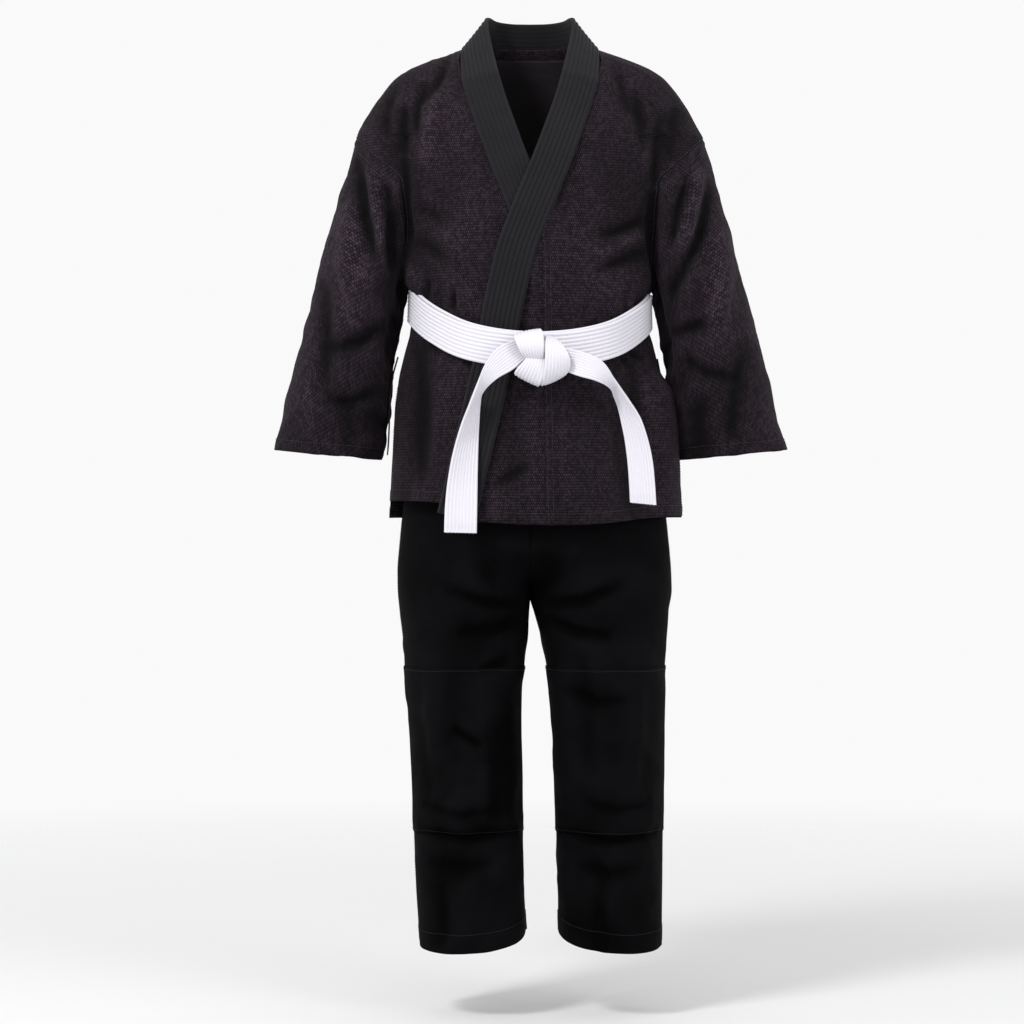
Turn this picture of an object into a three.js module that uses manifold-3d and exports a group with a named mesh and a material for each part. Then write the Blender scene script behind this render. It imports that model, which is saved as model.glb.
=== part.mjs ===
// A wrap-front martial arts uniform as it hangs on a wearer: jacket, tied belt and trousers.
// Millimetres. +Z is up, -Y is the wearer's front and +X is the wearer's left.
// The origin is on the mid-line at the base of the neck. Every panel is a thin closed shell
// laid over a smooth form (the shape the cloth hangs in), in layers from the skin outwards.

import * as THREE from 'three';
import Module from 'manifold-3d';
import { mergeVertices } from 'three/addons/utils/BufferGeometryUtils.js';

const wasm = await Module();
wasm.setup();

// ---- Driving dimensions ------------------------------------------------------------------

// Cloth and clearances
const CLOTH = 1.8;             // jacket cloth
const TROUSER_CLOTH = 1.6;     // trouser cloth
const BAND = 3;                // quilted lapel and collar band
const BELT = 2.4;              // one layer of belt
const SEAM_GAP = 0.5;          // between panels that meet edge to edge
const LAYER_GAP = 0.8;         // between layers that lie on one another
const JOINT_GAP = 0.5;         // between shells that turn past one another

// Neck and shoulders
const COLLAR_TOP = 50;         // top edge of the standing collar
const COLLAR_WIDTH = 42;       // quilted band, edge to edge
const NECK_HALF_WIDTH = 49;    // at the top of the collar
const NECK_HALF_DEPTH = 46;
const SHOULDER_START = 95;     // half-width where the shoulder slope leaves the neck
const SHOULDER_START_Z = 6;
const SHOULDER_DEPTH = 56;     // half-depth there

// Armhole, seen from the front as one slanted line
const ARMHOLE_TOP_X = 206;
const ARMHOLE_TOP_Z = -94;
const ARMHOLE_BOTTOM_X = 150;
const ARMHOLE_BOTTOM_Z = -255;
const ARMHOLE_HALF_DEPTH = 62;
const ARMHOLE_BULGE = 32;      // how far the form swells past the armhole, which opens it

// Body of the jacket
const CHEST_HALF_DEPTH = 106;
const UNDERARM_HALF_WIDTH = 145;
const WAIST_HALF_WIDTH = 135;
const WAIST_HALF_DEPTH = 100;
const HEM_HALF_WIDTH = 166;
const HEM_HALF_DEPTH = 116;
const JACKET_HEM_Z = -545;     // outer (left) front and the back
const UNDER_HEM_Z = -527;      // right front, which lies under the left
const VENT_TOP_Z = -400;       // side slits start here
const VENT_HALF_GAP = 3;       // half the slit's opening at the hem
const OVERLAP_SEAM_X = 15;     // upright seam between each front and its overlap panel

// Sleeve
const CUFF_X = 237;
const CUFF_Z = -459;
const CUFF_HALF_WIDTH = 64;
const CUFF_HALF_DEPTH = 46;
const CUFF_RISE = 12;          // outer edge of the cuff above its middle
const CUFF_HEM = 16;           // folded hem inside the cuff

// Belt
const BELT_WIDTH = 40;
const BELT_SIDE_Z = -290;      // middle of the belt at the sides
const BELT_SAG = 51;           // how much lower it sits at the front
const BELT_BACK_RISE = 6;
const KNOT_X = 13;
const KNOT_HALF = [30, 14, 28];
const TAIL_WIDTH = 36;

// Trousers
const WAISTBAND_Z = -350;      // top edge
const WAISTBAND_HEIGHT = 38;
const ELASTIC_THICKNESS = 1.2;
const ELASTIC_INSET = 4;       // how far the elastic stops short of the waistband's edges
const TROUSER_WAIST_HALF_WIDTH = 124;
const TROUSER_WAIST_HALF_DEPTH = 88;
const HIP_EASE = 5;            // the jacket's skirt hangs just clear of the hips
const HIP_HALF_WIDTH = HEM_HALF_WIDTH - HIP_EASE;
const HIP_HALF_DEPTH = 103;
const HIP_Z = -600;
const RISE_Z = -547;           // where the front and back seams start to curve under
const CROTCH_Z = -648;
const LEG_X = 0.522 * HIP_HALF_WIDTH;            // middle of each leg
const THIGH_HALF_WIDTH = 0.447 * HIP_HALF_WIDTH;
const THIGH_HALF_DEPTH = 95;
const LEG_HEM_HALF_WIDTH = 62;
const LEG_HEM_HALF_DEPTH = 66;
const LEG_HEM_Z = -1036;
const LEG_HEM_SLANT = 0.12;    // the hem is lower at the front
const KNEE_TOP_Z = -712;
const KNEE_BOTTOM_Z = -905;
const LEG_HEM_BAND = 24;

// Hips turn about a line across the body, and the split between hip and leg is a cylinder on it
const HIP_JOINT_Z = -575;
const HIP_JOINT_RADIUS = 125;

// Side ties
const TIE_WIDTH = 12;
const TIE_THICKNESS = 2;
const TIE_TOP_Z = -350;
const TIE_LENGTH = 128;
const TIE_CLEAR = 4;           // between the tie and the skirt
const TIE_Y = { left: 26, right: -14 };

// ---- Colours -----------------------------------------------------------------------------

const cloth = (colour, roughness) =>
  new THREE.MeshStandardMaterial({ color: colour, roughness, metalness: 0 });
const JACKET_CLOTH = cloth(0x2f252c, 0.9);
const BAND_CLOTH = cloth(0x2b282d, 0.85);
const TROUSER_MATERIAL = cloth(0x0c0b0d, 0.92);
const BELT_CLOTH = cloth(0xf1eff5, 0.8);
const ELASTIC = cloth(0x262427, 0.8);

// ---- The form under the jacket -----------------------------------------------------------

const mix = (a, b, t) => a + (b - a) * t;
const smooth = (t) => {
  const s = Math.min(1, Math.max(0, t));
  return s * s * (3 - 2 * s);
};
const rad = THREE.MathUtils.degToRad;

// Straight-line interpolation in a list of [height, value], highest first.
function profile(stations, z) {
  if (z >= stations[0][0]) return stations[0][1];
  for (let i = 1; i < stations.length; i++) {
    const [zb, vb] = stations[i];
    const [za, va] = stations[i - 1];
    if (z >= zb) return mix(va, vb, (z - za) / (zb - za));
  }
  return stations[stations.length - 1][1];
}

const fifths = [0, 0.2, 0.4, 0.6, 0.8];
const quarters = [0, 0.25, 0.5, 0.75];
const armholeX = (g) => mix(ARMHOLE_TOP_X, ARMHOLE_BOTTOM_X, g);
const armholeZ = (g) => mix(ARMHOLE_TOP_Z, ARMHOLE_BOTTOM_Z, g);
const beltEdge = BELT_WIDTH / 2 + 2;
const frontBeltZ = BELT_SIDE_Z - BELT_SAG;
const NECK_FOOT_Z = COLLAR_TOP - COLLAR_WIDTH + 4;

const HALF_WIDTH = [
  [COLLAR_TOP + 4, NECK_HALF_WIDTH],
  [mix(COLLAR_TOP, NECK_FOOT_Z, 0.5), NECK_HALF_WIDTH + 9],
  [NECK_FOOT_Z, mix(NECK_HALF_WIDTH, SHOULDER_START, 0.6)],
  ...fifths.map((f) => [
    mix(SHOULDER_START_Z, ARMHOLE_TOP_Z, f * f),
    mix(SHOULDER_START, ARMHOLE_TOP_X, f),
  ]),
  ...quarters.map((g) => [armholeZ(g), armholeX(g) + ARMHOLE_BULGE * Math.sin(Math.PI * g)]),
  [ARMHOLE_BOTTOM_Z, UNDERARM_HALF_WIDTH],
  [BELT_SIDE_Z + beltEdge, WAIST_HALF_WIDTH + 2],
  [BELT_SIDE_Z, WAIST_HALF_WIDTH],
  [BELT_SIDE_Z - beltEdge, WAIST_HALF_WIDTH + 2],
  [frontBeltZ, WAIST_HALF_WIDTH + 12],
  [VENT_TOP_Z, mix(WAIST_HALF_WIDTH, HEM_HALF_WIDTH, 0.65)],
  [JACKET_HEM_Z - 20, HEM_HALF_WIDTH],
];
const HALF_DEPTH = [
  [COLLAR_TOP + 4, NECK_HALF_DEPTH],
  [NECK_FOOT_Z, SHOULDER_DEPTH - 2],
  ...fifths.map((f) => [
    mix(SHOULDER_START_Z, ARMHOLE_TOP_Z, f * f),
    mix(SHOULDER_DEPTH, CHEST_HALF_DEPTH - 10, f),
  ]),
  [ARMHOLE_TOP_Z, CHEST_HALF_DEPTH - 10],
  [armholeZ(0.5), CHEST_HALF_DEPTH],
  [ARMHOLE_BOTTOM_Z, CHEST_HALF_DEPTH + 3],
  [frontBeltZ + 2 * beltEdge, CHEST_HALF_DEPTH],
  [frontBeltZ + beltEdge, WAIST_HALF_DEPTH + 2],
  [frontBeltZ, WAIST_HALF_DEPTH],
  [frontBeltZ - beltEdge, WAIST_HALF_DEPTH + 2],
  [VENT_TOP_Z, mix(WAIST_HALF_DEPTH, HEM_HALF_DEPTH, 0.55)],
  [JACKET_HEM_Z - 20, HEM_HALF_DEPTH],
];

const halfWidth = (z) => profile(HALF_WIDTH, z);
const halfDepth = (z) => profile(HALF_DEPTH, z);

// A point `out` mm outside the form. `turn` is 0 at the left side, 90 at the front, 180 at the
// right side and -90 at the back.
function onForm(turn, z, out = 0) {
  const c = Math.cos(rad(turn));
  const s = Math.sin(rad(turn));
  const a = halfWidth(z);
  const b = halfDepth(z);
  const step = 4;
  const da = (halfWidth(z + step) - halfWidth(z - step)) / (2 * step);
  const db = (halfDepth(z + step) - halfDepth(z - step)) / (2 * step);
  const normal = new THREE.Vector3(c / a, -s / b, -(c * c * da / a + s * s * db / b)).normalize();
  return new THREE.Vector3(a * c, -b * s, z).addScaledVector(normal, out);
}

// ---- Building closed shells --------------------------------------------------------------

// A closed shell between two grids of points: outer(i, j) and inner(i, j).
function shell(columns, rows, outer, inner, closed = false) {
  const positions = [];
  const across = closed ? columns : columns + 1;
  for (const side of [outer, inner]) {
    for (let j = 0; j <= rows; j++) {
      for (let i = 0; i < across; i++) positions.push(...side(i / columns, j / rows).toArray());
    }
  }
  const layer = across * (rows + 1);
  const at = (side, i, j) => side * layer + j * across + (i % across);
  const faces = [];
  const quad = (a, b, c, d) => faces.push(a, b, c, a, c, d);
  for (let j = 0; j < rows; j++) {
    for (let i = 0; i < columns; i++) {
      quad(at(0, i, j), at(0, i + 1, j), at(0, i + 1, j + 1), at(0, i, j + 1));
      quad(at(1, i, j), at(1, i, j + 1), at(1, i + 1, j + 1), at(1, i + 1, j));
    }
  }
  for (let i = 0; i < columns; i++) {
    quad(at(0, i, 0), at(1, i, 0), at(1, i + 1, 0), at(0, i + 1, 0));
    quad(at(0, i, rows), at(0, i + 1, rows), at(1, i + 1, rows), at(1, i, rows));
  }
  for (let j = 0; j < rows && !closed; j++) {
    quad(at(0, 0, j), at(0, 0, j + 1), at(1, 0, j + 1), at(1, 0, j));
    quad(at(0, columns, j), at(1, columns, j), at(1, columns, j + 1), at(0, columns, j + 1));
  }
  const geometry = new THREE.BufferGeometry();
  geometry.setAttribute('position', new THREE.Float32BufferAttribute(positions, 3));
  geometry.setIndex(faces);
  return geometry;
}

function volume(geometry) {
  const p = geometry.getAttribute('position');
  const index = geometry.getIndex();
  const [a, b, c] = [new THREE.Vector3(), new THREE.Vector3(), new THREE.Vector3()];
  let total = 0;
  for (let i = 0; i < index.count; i += 3) {
    a.fromBufferAttribute(p, index.getX(i));
    b.fromBufferAttribute(p, index.getX(i + 1));
    c.fromBufferAttribute(p, index.getX(i + 2));
    total += a.dot(b.clone().cross(c)) / 6;
  }
  return total;
}

// Turns a closed geometry the right way out and merges its shared vertices.
function closedGeometry(source) {
  const geometry = source.clone();
  geometry.deleteAttribute('normal');
  geometry.deleteAttribute('uv');
  const merged = mergeVertices(geometry, 1e-4);
  if (volume(merged) < 0) {
    const index = merged.getIndex();
    for (let i = 0; i < index.count; i += 3) {
      const second = index.getX(i + 1);
      index.setX(i + 1, index.getX(i + 2));
      index.setX(i + 2, second);
    }
  }
  return merged;
}

function toSolid(source) {
  const geometry = closedGeometry(source);
  return new wasm.Manifold(new wasm.Mesh({
    numProp: 3,
    vertProperties: new Float32Array(geometry.getAttribute('position').array),
    triVerts: new Uint32Array(geometry.getIndex().array),
  }));
}

function fromSolid(solid) {
  const mesh = solid.getMesh();
  const geometry = new THREE.BufferGeometry();
  geometry.setAttribute('position', new THREE.BufferAttribute(new Float32Array(mesh.vertProperties), 3));
  geometry.setIndex(new THREE.BufferAttribute(new Uint32Array(mesh.triVerts), 1));
  return geometry;
}

const FAR = 1500;

// A prism with a front-view outline of [x, z] points, from y = nearY back to y = farY.
function frontPrism(outline, nearY = -FAR, farY = FAR) {
  const shape = new THREE.Shape(outline.map(([x, z]) => new THREE.Vector2(x, z)));
  const geometry = new THREE.ExtrudeGeometry(shape, { depth: farY - nearY, bevelEnabled: false });
  geometry.rotateX(Math.PI / 2);
  geometry.translate(0, farY, 0);
  return toSolid(geometry);
}

function block(low, high) {
  const size = high.map((v, i) => v - low[i]);
  const geometry = new THREE.BoxGeometry(...size);
  geometry.translate(...low.map((v, i) => v + size[i] / 2));
  return toSolid(geometry);
}

// ---- Layers on the front -----------------------------------------------------------------

// The right front and its lapel lie on the form. The left front and its lapel lie on them.
const LEFT_FRONT_OUT = BAND + 2 * LAYER_GAP;
const BELT_FRONT_OUT = LEFT_FRONT_OUT + BAND + 2.5 * LAYER_GAP;
const BELT_SIDE_OUT = CLOTH + LAYER_GAP;

// Turns, in degrees, between which the left front and the belt rise over what lies under them.
const LEFT_FRONT_RISES = [10, 40];
const BELT_RISES = [12, 42];
const BELT_SETTLES = [120, 150];

const ramp = (value, from, to) => Math.min(1, Math.max(0, (value - from) / (to - from)));
const lapelsApartZ = HALF_WIDTH.find(([z]) => z < -LAYER_GAP - 50)[0];
const lapelsCrossZ = armholeZ(0.25);
const leftFrontOut = (turn, z) =>
  LEFT_FRONT_OUT * ramp(turn, ...LEFT_FRONT_RISES) * ramp(z, lapelsApartZ, lapelsCrossZ);

// Middle line of the left lapel from the shoulder to the hem, as [x, z] seen from the front.
// The right lapel is its mirror image.
const LAPEL_LINE = [
  [62, 0], [52, -43], [28, -115], [6, -175], [-12, -225], [-26, -285],
  [-42, -353], [-59, -435], [-84, JACKET_HEM_Z],
];
const lapelStartZ = COLLAR_TOP - COLLAR_WIDTH / 2;
const lapelCurve = new THREE.CatmullRomCurve3([
  new THREE.Vector3(0, lapelStartZ, 0),
  ...LAPEL_LINE.map(([x, z]) =>
    new THREE.Vector3(THREE.MathUtils.radToDeg(Math.acos(x / halfWidth(z))), z, 0)),
], false, 'centripetal');

// [turn, z] at `along` the band and `side` across it, from -1 (neck edge) to 1.
function onLapel(along, side) {
  const t = Math.min(1, Math.max(0, along));
  const here = lapelCurve.getPoint(t);
  const step = 0.01;
  const before = lapelCurve.getPoint(Math.max(0, t - step));
  const after = lapelCurve.getPoint(Math.min(1, t + step));
  const a = halfWidth(here.y);
  const b = halfDepth(here.y);
  const perDegree = Math.hypot(a * Math.sin(rad(here.x)), b * Math.cos(rad(here.x))) * rad(1);
  const slopeA = (halfWidth(here.y + 4) - halfWidth(here.y - 4)) / 8;
  const perHeight = Math.hypot(1, slopeA * Math.cos(rad(here.x)));
  const tangent = new THREE.Vector2((after.x - before.x) * perDegree, (after.y - before.y) * perHeight);
  tangent.normalize();
  const reach = side * COLLAR_WIDTH / 2;
  return [here.x + tangent.y * reach / perDegree, here.y - tangent.x * reach / perHeight];
}

// Everything on the neck side of the lapel's outer edge, seen from the front, for a face `out`
// mm outside the lapel's underside. The edge only runs inwards on its way down, so over the
// shoulder it keeps the widest place below.
const LAPEL_STEPS = 30;
const LAPEL_CLEAR = 2 * CLOTH + SEAM_GAP;
function pastLapelEdge(out) {
  const edge = [];
  for (let k = 0; k <= LAPEL_STEPS; k++) {
    const [turn, z] = onLapel(k / LAPEL_STEPS, 1 + 2 * LAPEL_CLEAR / COLLAR_WIDTH);
    const p = onForm(turn, z, leftFrontOut(turn, z) + out);
    edge.push([p.x, p.z]);
  }
  for (let k = LAPEL_STEPS - 1; k >= 0; k--) edge[k][0] = Math.max(edge[k][0], edge[k + 1][0]);
  return frontPrism([
    ...edge,
    [edge[LAPEL_STEPS][0], -FAR], [-FAR, -FAR], [-FAR, FAR], [edge[0][0], FAR],
  ]);
}
const pastLeftLapel = pastLapelEdge(0).add(pastLapelEdge(BAND));
const pastRightLapel = pastLeftLapel.mirror([1, 0, 0]);

function lapel(out) {
  const at = (extra) => (u, v) => {
    const [turn, z] = onLapel(v, 2 * u - 1);
    const p = onForm(turn, z, out(turn, z) + extra);
    p.y = Math.min(p.y, -SEAM_GAP / 2);
    return p;
  };
  return toSolid(shell(3, LAPEL_STEPS, at(BAND), at(0)));
}

const belowHem = (z) => block([-FAR, -FAR, -FAR], [FAR, FAR, z]);

// ---- Jacket panels -----------------------------------------------------------------------

const ROWS = [...new Set([...HALF_WIDTH, ...HALF_DEPTH].map(([z]) => Math.round(z * 10) / 10))]
  .sort((p, q) => q - p)
  .filter((z, i, all) => i === 0 || all[i - 1] - z > 3);
const PANEL_TOP_Z = COLLAR_TOP - COLLAR_WIDTH - 4 * SEAM_GAP;

function panelRows(top, bottom) {
  return [top, ...ROWS.filter((z) => z < top - 4 && z > bottom + 4), bottom];
}

// A panel of the jacket between two turns and two heights.
function jacketPanel(from, to, top, bottom, out, thickness = CLOTH) {
  const rows = panelRows(top, bottom);
  const columns = Math.round(Math.abs(to - from) / 10);
  const front = from + to > 0;
  const at = (extra) => (u, v) => {
    const z = rows[Math.round(v * (rows.length - 1))];
    const turn = mix(from, to, u);
    const p = onForm(turn, z, out(turn, z) + extra);
    const slit = mix(SEAM_GAP / 2, VENT_HALF_GAP, Math.max(0, (VENT_TOP_Z - z) / (VENT_TOP_Z - JACKET_HEM_Z)));
    p.y = front ? Math.min(p.y, -slit) : Math.max(p.y, slit);
    return p;
  };
  return toSolid(shell(columns, rows.length - 1, at(thickness), at(0)));
}

// Everything outside the slanted armhole, for the left side.
const outsideArmhole = frontPrism([
  [armholeX(-0.6), armholeZ(-0.6)], [ARMHOLE_BOTTOM_X, ARMHOLE_BOTTOM_Z],
  [FAR, ARMHOLE_BOTTOM_Z], [FAR, armholeZ(-0.6)],
]);
const cutArmholes = (solid) => solid.subtract(outsideArmhole).subtract(outsideArmhole.mirror([1, 0, 0]));

const onTheForm = () => 0;
const frontLeft = cutArmholes(jacketPanel(0, 130, PANEL_TOP_Z, JACKET_HEM_Z, leftFrontOut))
  .subtract(pastLeftLapel);
const frontRight = cutArmholes(jacketPanel(180, 50, PANEL_TOP_Z, UNDER_HEM_Z, onTheForm))
  .subtract(pastRightLapel);
const leftOf = (x) => block([x, -FAR, -FAR], [FAR, FAR, FAR]);
const rightOf = (x) => block([-FAR, -FAR, -FAR], [x, FAR, FAR]);

const backLeft = cutArmholes(jacketPanel(0, -90, PANEL_TOP_Z, JACKET_HEM_Z, onTheForm))
  .intersect(leftOf(SEAM_GAP / 2));
const backRight = backLeft.mirror([1, 0, 0]);
const yokeLining = cutArmholes(
  jacketPanel(-10, -170, SHOULDER_START_Z, armholeZ(0.4), () => -CLOTH - LAYER_GAP, CLOTH));

function collarBack() {
  const at = (extra) => (u, v) => {
    const turn = mix(0, -180, u);
    const z = mix(COLLAR_TOP, COLLAR_TOP - COLLAR_WIDTH, v);
    const p = onForm(turn, z, extra);
    p.y = Math.max(p.y, SEAM_GAP / 2);
    return p;
  };
  return toSolid(shell(14, 3, at(BAND), at(0)));
}

// ---- Sleeves -----------------------------------------------------------------------------

// The left sleeve, lofted from the armhole to the cuff. `around` is 0 at the outer edge.
function onSleeve(around, along, inward) {
  const at = (u, v) => {
    const turn = 2 * Math.PI * u;
    const reach = Math.cos(turn);
    const top = new THREE.Vector3(
      armholeX(0.5 - reach / 2) + CLOTH, -ARMHOLE_HALF_DEPTH * Math.sin(turn), armholeZ(0.5 - reach / 2));
    const end = new THREE.Vector3(
      CUFF_X + CUFF_HALF_WIDTH * reach, -CUFF_HALF_DEPTH * Math.sin(turn), CUFF_Z + CUFF_RISE * reach);
    return top.lerp(end, v);
  };
  const step = 1e-3;
  const du = at(around + step, along).sub(at(around - step, along));
  const dv = at(around, along + step).sub(at(around, along - step));
  const normal = du.cross(dv).normalize();
  const middle = at(0, along).add(at(0.5, along)).multiplyScalar(0.5);
  const p = at(around, along);
  if (normal.dot(p.clone().sub(middle)) < 0) normal.negate();
  return p.addScaledVector(normal, -inward);
}

function sleeveTube(from, to, inward, thickness, rows) {
  const at = (depth) => (u, v) => onSleeve(u, mix(from, to, v), depth);
  return toSolid(shell(18, rows, at(inward), at(inward + thickness), true));
}

const armholeSide = (gap) => frontPrism([
  [armholeX(-1.5) + gap, armholeZ(-1.5)], [armholeX(3) + gap, armholeZ(3)],
  [FAR, armholeZ(3)], [FAR, armholeZ(-1.5)],
]);
const sleeveLength = Math.hypot(CUFF_X - armholeX(0.5), CUFF_Z - armholeZ(0.5));
const sleeve = sleeveTube(-0.02, 1, 0, CLOTH, 5).intersect(armholeSide(JOINT_GAP));
const cuffHem = sleeveTube(
  1 - CUFF_HEM / sleeveLength, 1, CLOTH + SEAM_GAP, CLOTH, 1).intersect(armholeSide(JOINT_GAP));

// ---- Belt --------------------------------------------------------------------------------

function beltMiddle(turn) {
  const s = Math.sin(rad(turn));
  return s > 0 ? BELT_SIDE_Z - BELT_SAG * Math.pow(s, 1.5) : BELT_SIDE_Z - BELT_BACK_RISE * s;
}
function beltOut(turn) {
  const lift = smooth(ramp(turn, ...BELT_RISES)) * (1 - smooth(ramp(turn, ...BELT_SETTLES)));
  return mix(BELT_SIDE_OUT, BELT_FRONT_OUT, turn > 0 ? lift : 0);
}
function beltWrap(layer) {
  const at = (extra) => (u, v) => {
    const turn = mix(-180, 180, u);
    const z = beltMiddle(turn) + mix(0.5, -0.5, v) * BELT_WIDTH;
    return onForm(turn, z, beltOut(turn) + layer * (BELT + SEAM_GAP) + extra);
  };
  return toSolid(shell(36, 2, at(BELT), at(0), true));
}

const BELT_OUTSIDE = BELT_FRONT_OUT + 2 * BELT + SEAM_GAP;
const knotY = -(WAIST_HALF_DEPTH + BELT_OUTSIDE + KNOT_HALF[1] + 3);
function knot() {
  const ball = new THREE.SphereGeometry(1, 14, 9);
  ball.scale(...KNOT_HALF);
  ball.translate(KNOT_X, knotY, frontBeltZ);
  return toSolid(ball);
}

// Middle lines of the belt tails, from the knot to the free end: x as a share of the skirt's
// half-width, and z.
const TAIL_LINES = {
  right: [
    [-0.114, -357], [-0.229, -366], [-0.349, -385], [-0.422, -414], [-0.458, -453],
    [-0.482, -500], [-0.488, -553],
  ],
  left: [
    [0.277, -357], [0.446, -363], [0.590, -378], [0.687, -400], [0.735, -430],
    [0.765, -470], [0.789, -519],
  ],
};
const TAIL_OUT = BELT_OUTSIDE + 3;

function tail(line) {
  const curve = new THREE.CatmullRomCurve3(
    line.map(([share, z]) => new THREE.Vector3(share * HEM_HALF_WIDTH, 0, z)));
  const side = Math.sign(line[line.length - 1][0]);
  const limit = KNOT_X + side * (KNOT_HALF[0] + JOINT_GAP);
  const at = (extra) => (u, v) => {
    const middle = curve.getPoint(v);
    const tangent = curve.getTangent(v);
    const across = new THREE.Vector3(-tangent.z, 0, tangent.x);
    const p = middle.addScaledVector(across, mix(-0.5, 0.5, u) * TAIL_WIDTH);
    const x = side > 0 ? Math.max(p.x, limit) : Math.min(p.x, limit);
    const z = Math.min(p.z, tailHingeZ - 2);
    const turn = THREE.MathUtils.radToDeg(Math.acos(x / halfWidth(z)));
    const y = onForm(turn, z).y - TAIL_OUT - extra;
    return new THREE.Vector3(x, Math.min(y, tailBackY - extra), z);
  };
  return toSolid(shell(2, 12, at(BELT), at(0)));
}
const tailHingeZ = frontBeltZ + 2;
const tailBackY = -(WAIST_HALF_DEPTH + BELT_OUTSIDE + 2);

// ---- Trousers ----------------------------------------------------------------------------

const TROUSER_HALF_WIDTH = [
  [WAISTBAND_Z, TROUSER_WAIST_HALF_WIDTH],
  [mix(WAISTBAND_Z, HIP_Z, 0.5), mix(TROUSER_WAIST_HALF_WIDTH, HIP_HALF_WIDTH, 0.62)],
  [HIP_Z, HIP_HALF_WIDTH],
  [LEG_HEM_Z, HIP_HALF_WIDTH],
];
const TROUSER_HALF_DEPTH = [
  [WAISTBAND_Z, TROUSER_WAIST_HALF_DEPTH],
  [mix(WAISTBAND_Z, HIP_Z, 0.5), mix(TROUSER_WAIST_HALF_DEPTH, HIP_HALF_DEPTH, 0.62)],
  [HIP_Z, HIP_HALF_DEPTH],
  [LEG_HEM_Z, HIP_HALF_DEPTH],
];
const LEG_HALF_WIDTH = [
  [CROTCH_Z, THIGH_HALF_WIDTH + 8],
  [CROTCH_Z - 50, THIGH_HALF_WIDTH],
  [KNEE_BOTTOM_Z, LEG_HEM_HALF_WIDTH + 3],
  [LEG_HEM_Z, LEG_HEM_HALF_WIDTH],
];
const LEG_HALF_DEPTH = [
  [CROTCH_Z, THIGH_HALF_DEPTH + 6],
  [CROTCH_Z - 50, THIGH_HALF_DEPTH],
  [KNEE_BOTTOM_Z, LEG_HEM_HALF_DEPTH + 5],
  [LEG_HEM_Z, LEG_HEM_HALF_DEPTH],
];
const TROUSER_ROWS = [
  WAISTBAND_Z, mix(WAISTBAND_Z, HIP_Z, 0.5), RISE_Z, mix(RISE_Z, CROTCH_Z, 0.3),
  mix(RISE_Z, CROTCH_Z, 0.55), mix(RISE_Z, CROTCH_Z, 0.8), CROTCH_Z, CROTCH_Z - 25, CROTCH_Z - 50,
  KNEE_TOP_Z, mix(KNEE_TOP_Z, KNEE_BOTTOM_Z, 0.5), KNEE_BOTTOM_Z, LEG_HEM_Z,
];

// A point on the front (side = -1) or back (side = 1) of the left half of the trousers.
// u runs from the outer side seam to the centre seam, and below the crotch to the inseam.
function onTrousers(side, u, z) {
  const hipTurn = u * Math.PI / 2;
  const legTurn = u * Math.PI;
  const hip = new THREE.Vector3(
    profile(TROUSER_HALF_WIDTH, z) * Math.cos(hipTurn),
    side * profile(TROUSER_HALF_DEPTH, z) * Math.sin(hipTurn), z);
  const leg = new THREE.Vector3(
    LEG_X + profile(LEG_HALF_WIDTH, z) * Math.cos(legTurn),
    side * profile(LEG_HALF_DEPTH, z) * Math.sin(legTurn), z);
  const under = Math.min(1, Math.max(0, (RISE_Z - z) / (RISE_Z - CROTCH_Z)));
  return hip.lerp(leg, under ** 3);
}

function trouserShell(side, uRange, rows, out, thickness, columns) {
  const step = 1e-3;
  const at = (extra) => (s, v) => {
    const u = mix(...uRange, s);
    const k = v * (rows.length - 1);
    const z = rows[Math.round(k)];
    const du = onTrousers(side, u + step, z).sub(onTrousers(side, u - step, z));
    const dz = onTrousers(side, u, z + 1).sub(onTrousers(side, u, z - 1));
    const normal = du.cross(dz).normalize().multiplyScalar(side);
    const p = onTrousers(side, u, z).addScaledVector(normal, extra);
    if (z <= LEG_HEM_Z + LEG_HEM_BAND) p.z += LEG_HEM_SLANT * p.y;
    p.x = Math.max(p.x, SEAM_GAP / 2);
    p.y = side * Math.max(side * p.y, SEAM_GAP / 2);
    return p;
  };
  return toSolid(shell(columns, rows.length - 1, at(out + thickness), at(out)));
}

function hipCylinder(radius) {
  const geometry = new THREE.CylinderGeometry(radius, radius, 2 * FAR, 72);
  geometry.rotateZ(Math.PI / 2);
  geometry.translate(0, 0, HIP_JOINT_Z);
  return toSolid(geometry);
}
const aboveHipJoint = block([-FAR, -FAR, HIP_JOINT_Z], [FAR, FAR, FAR]);
const hipSide = hipCylinder(HIP_JOINT_RADIUS).add(aboveHipJoint);
const hipSideWithGap = hipCylinder(HIP_JOINT_RADIUS + JOINT_GAP).add(aboveHipJoint);

function waistRing(top, bottom, out, thickness) {
  const at = (extra) => (u, v) => {
    const turn = mix(0, 360, u);
    const z = mix(top, bottom, v);
    return new THREE.Vector3(
      (profile(TROUSER_HALF_WIDTH, z) + extra) * Math.cos(rad(turn)),
      -(profile(TROUSER_HALF_DEPTH, z) + extra) * Math.sin(rad(turn)), z);
  };
  return toSolid(shell(32, 1, at(out + thickness), at(out), true));
}

// ---- Side ties ---------------------------------------------------------------------------

// A tie hangs beside the skirt and leans with it, so it swings in its own plane.
const tieLean = Math.atan2(halfWidth(TIE_TOP_Z - TIE_LENGTH) - halfWidth(TIE_TOP_Z), TIE_LENGTH);
function sideTie(side) {
  const geometry = new THREE.BoxGeometry(TIE_THICKNESS, TIE_WIDTH, TIE_LENGTH);
  geometry.translate(0, 0, -TIE_LENGTH / 2);
  geometry.rotateY(-tieLean);
  geometry.translate(halfWidth(TIE_TOP_Z) + CLOTH + TIE_CLEAR, TIE_Y[side], TIE_TOP_Z);
  const solid = toSolid(geometry);
  return side === 'left' ? solid : solid.mirror([1, 0, 0]);
}

// ---- Assembly ----------------------------------------------------------------------------

const uniform = new THREE.Group();

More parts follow.
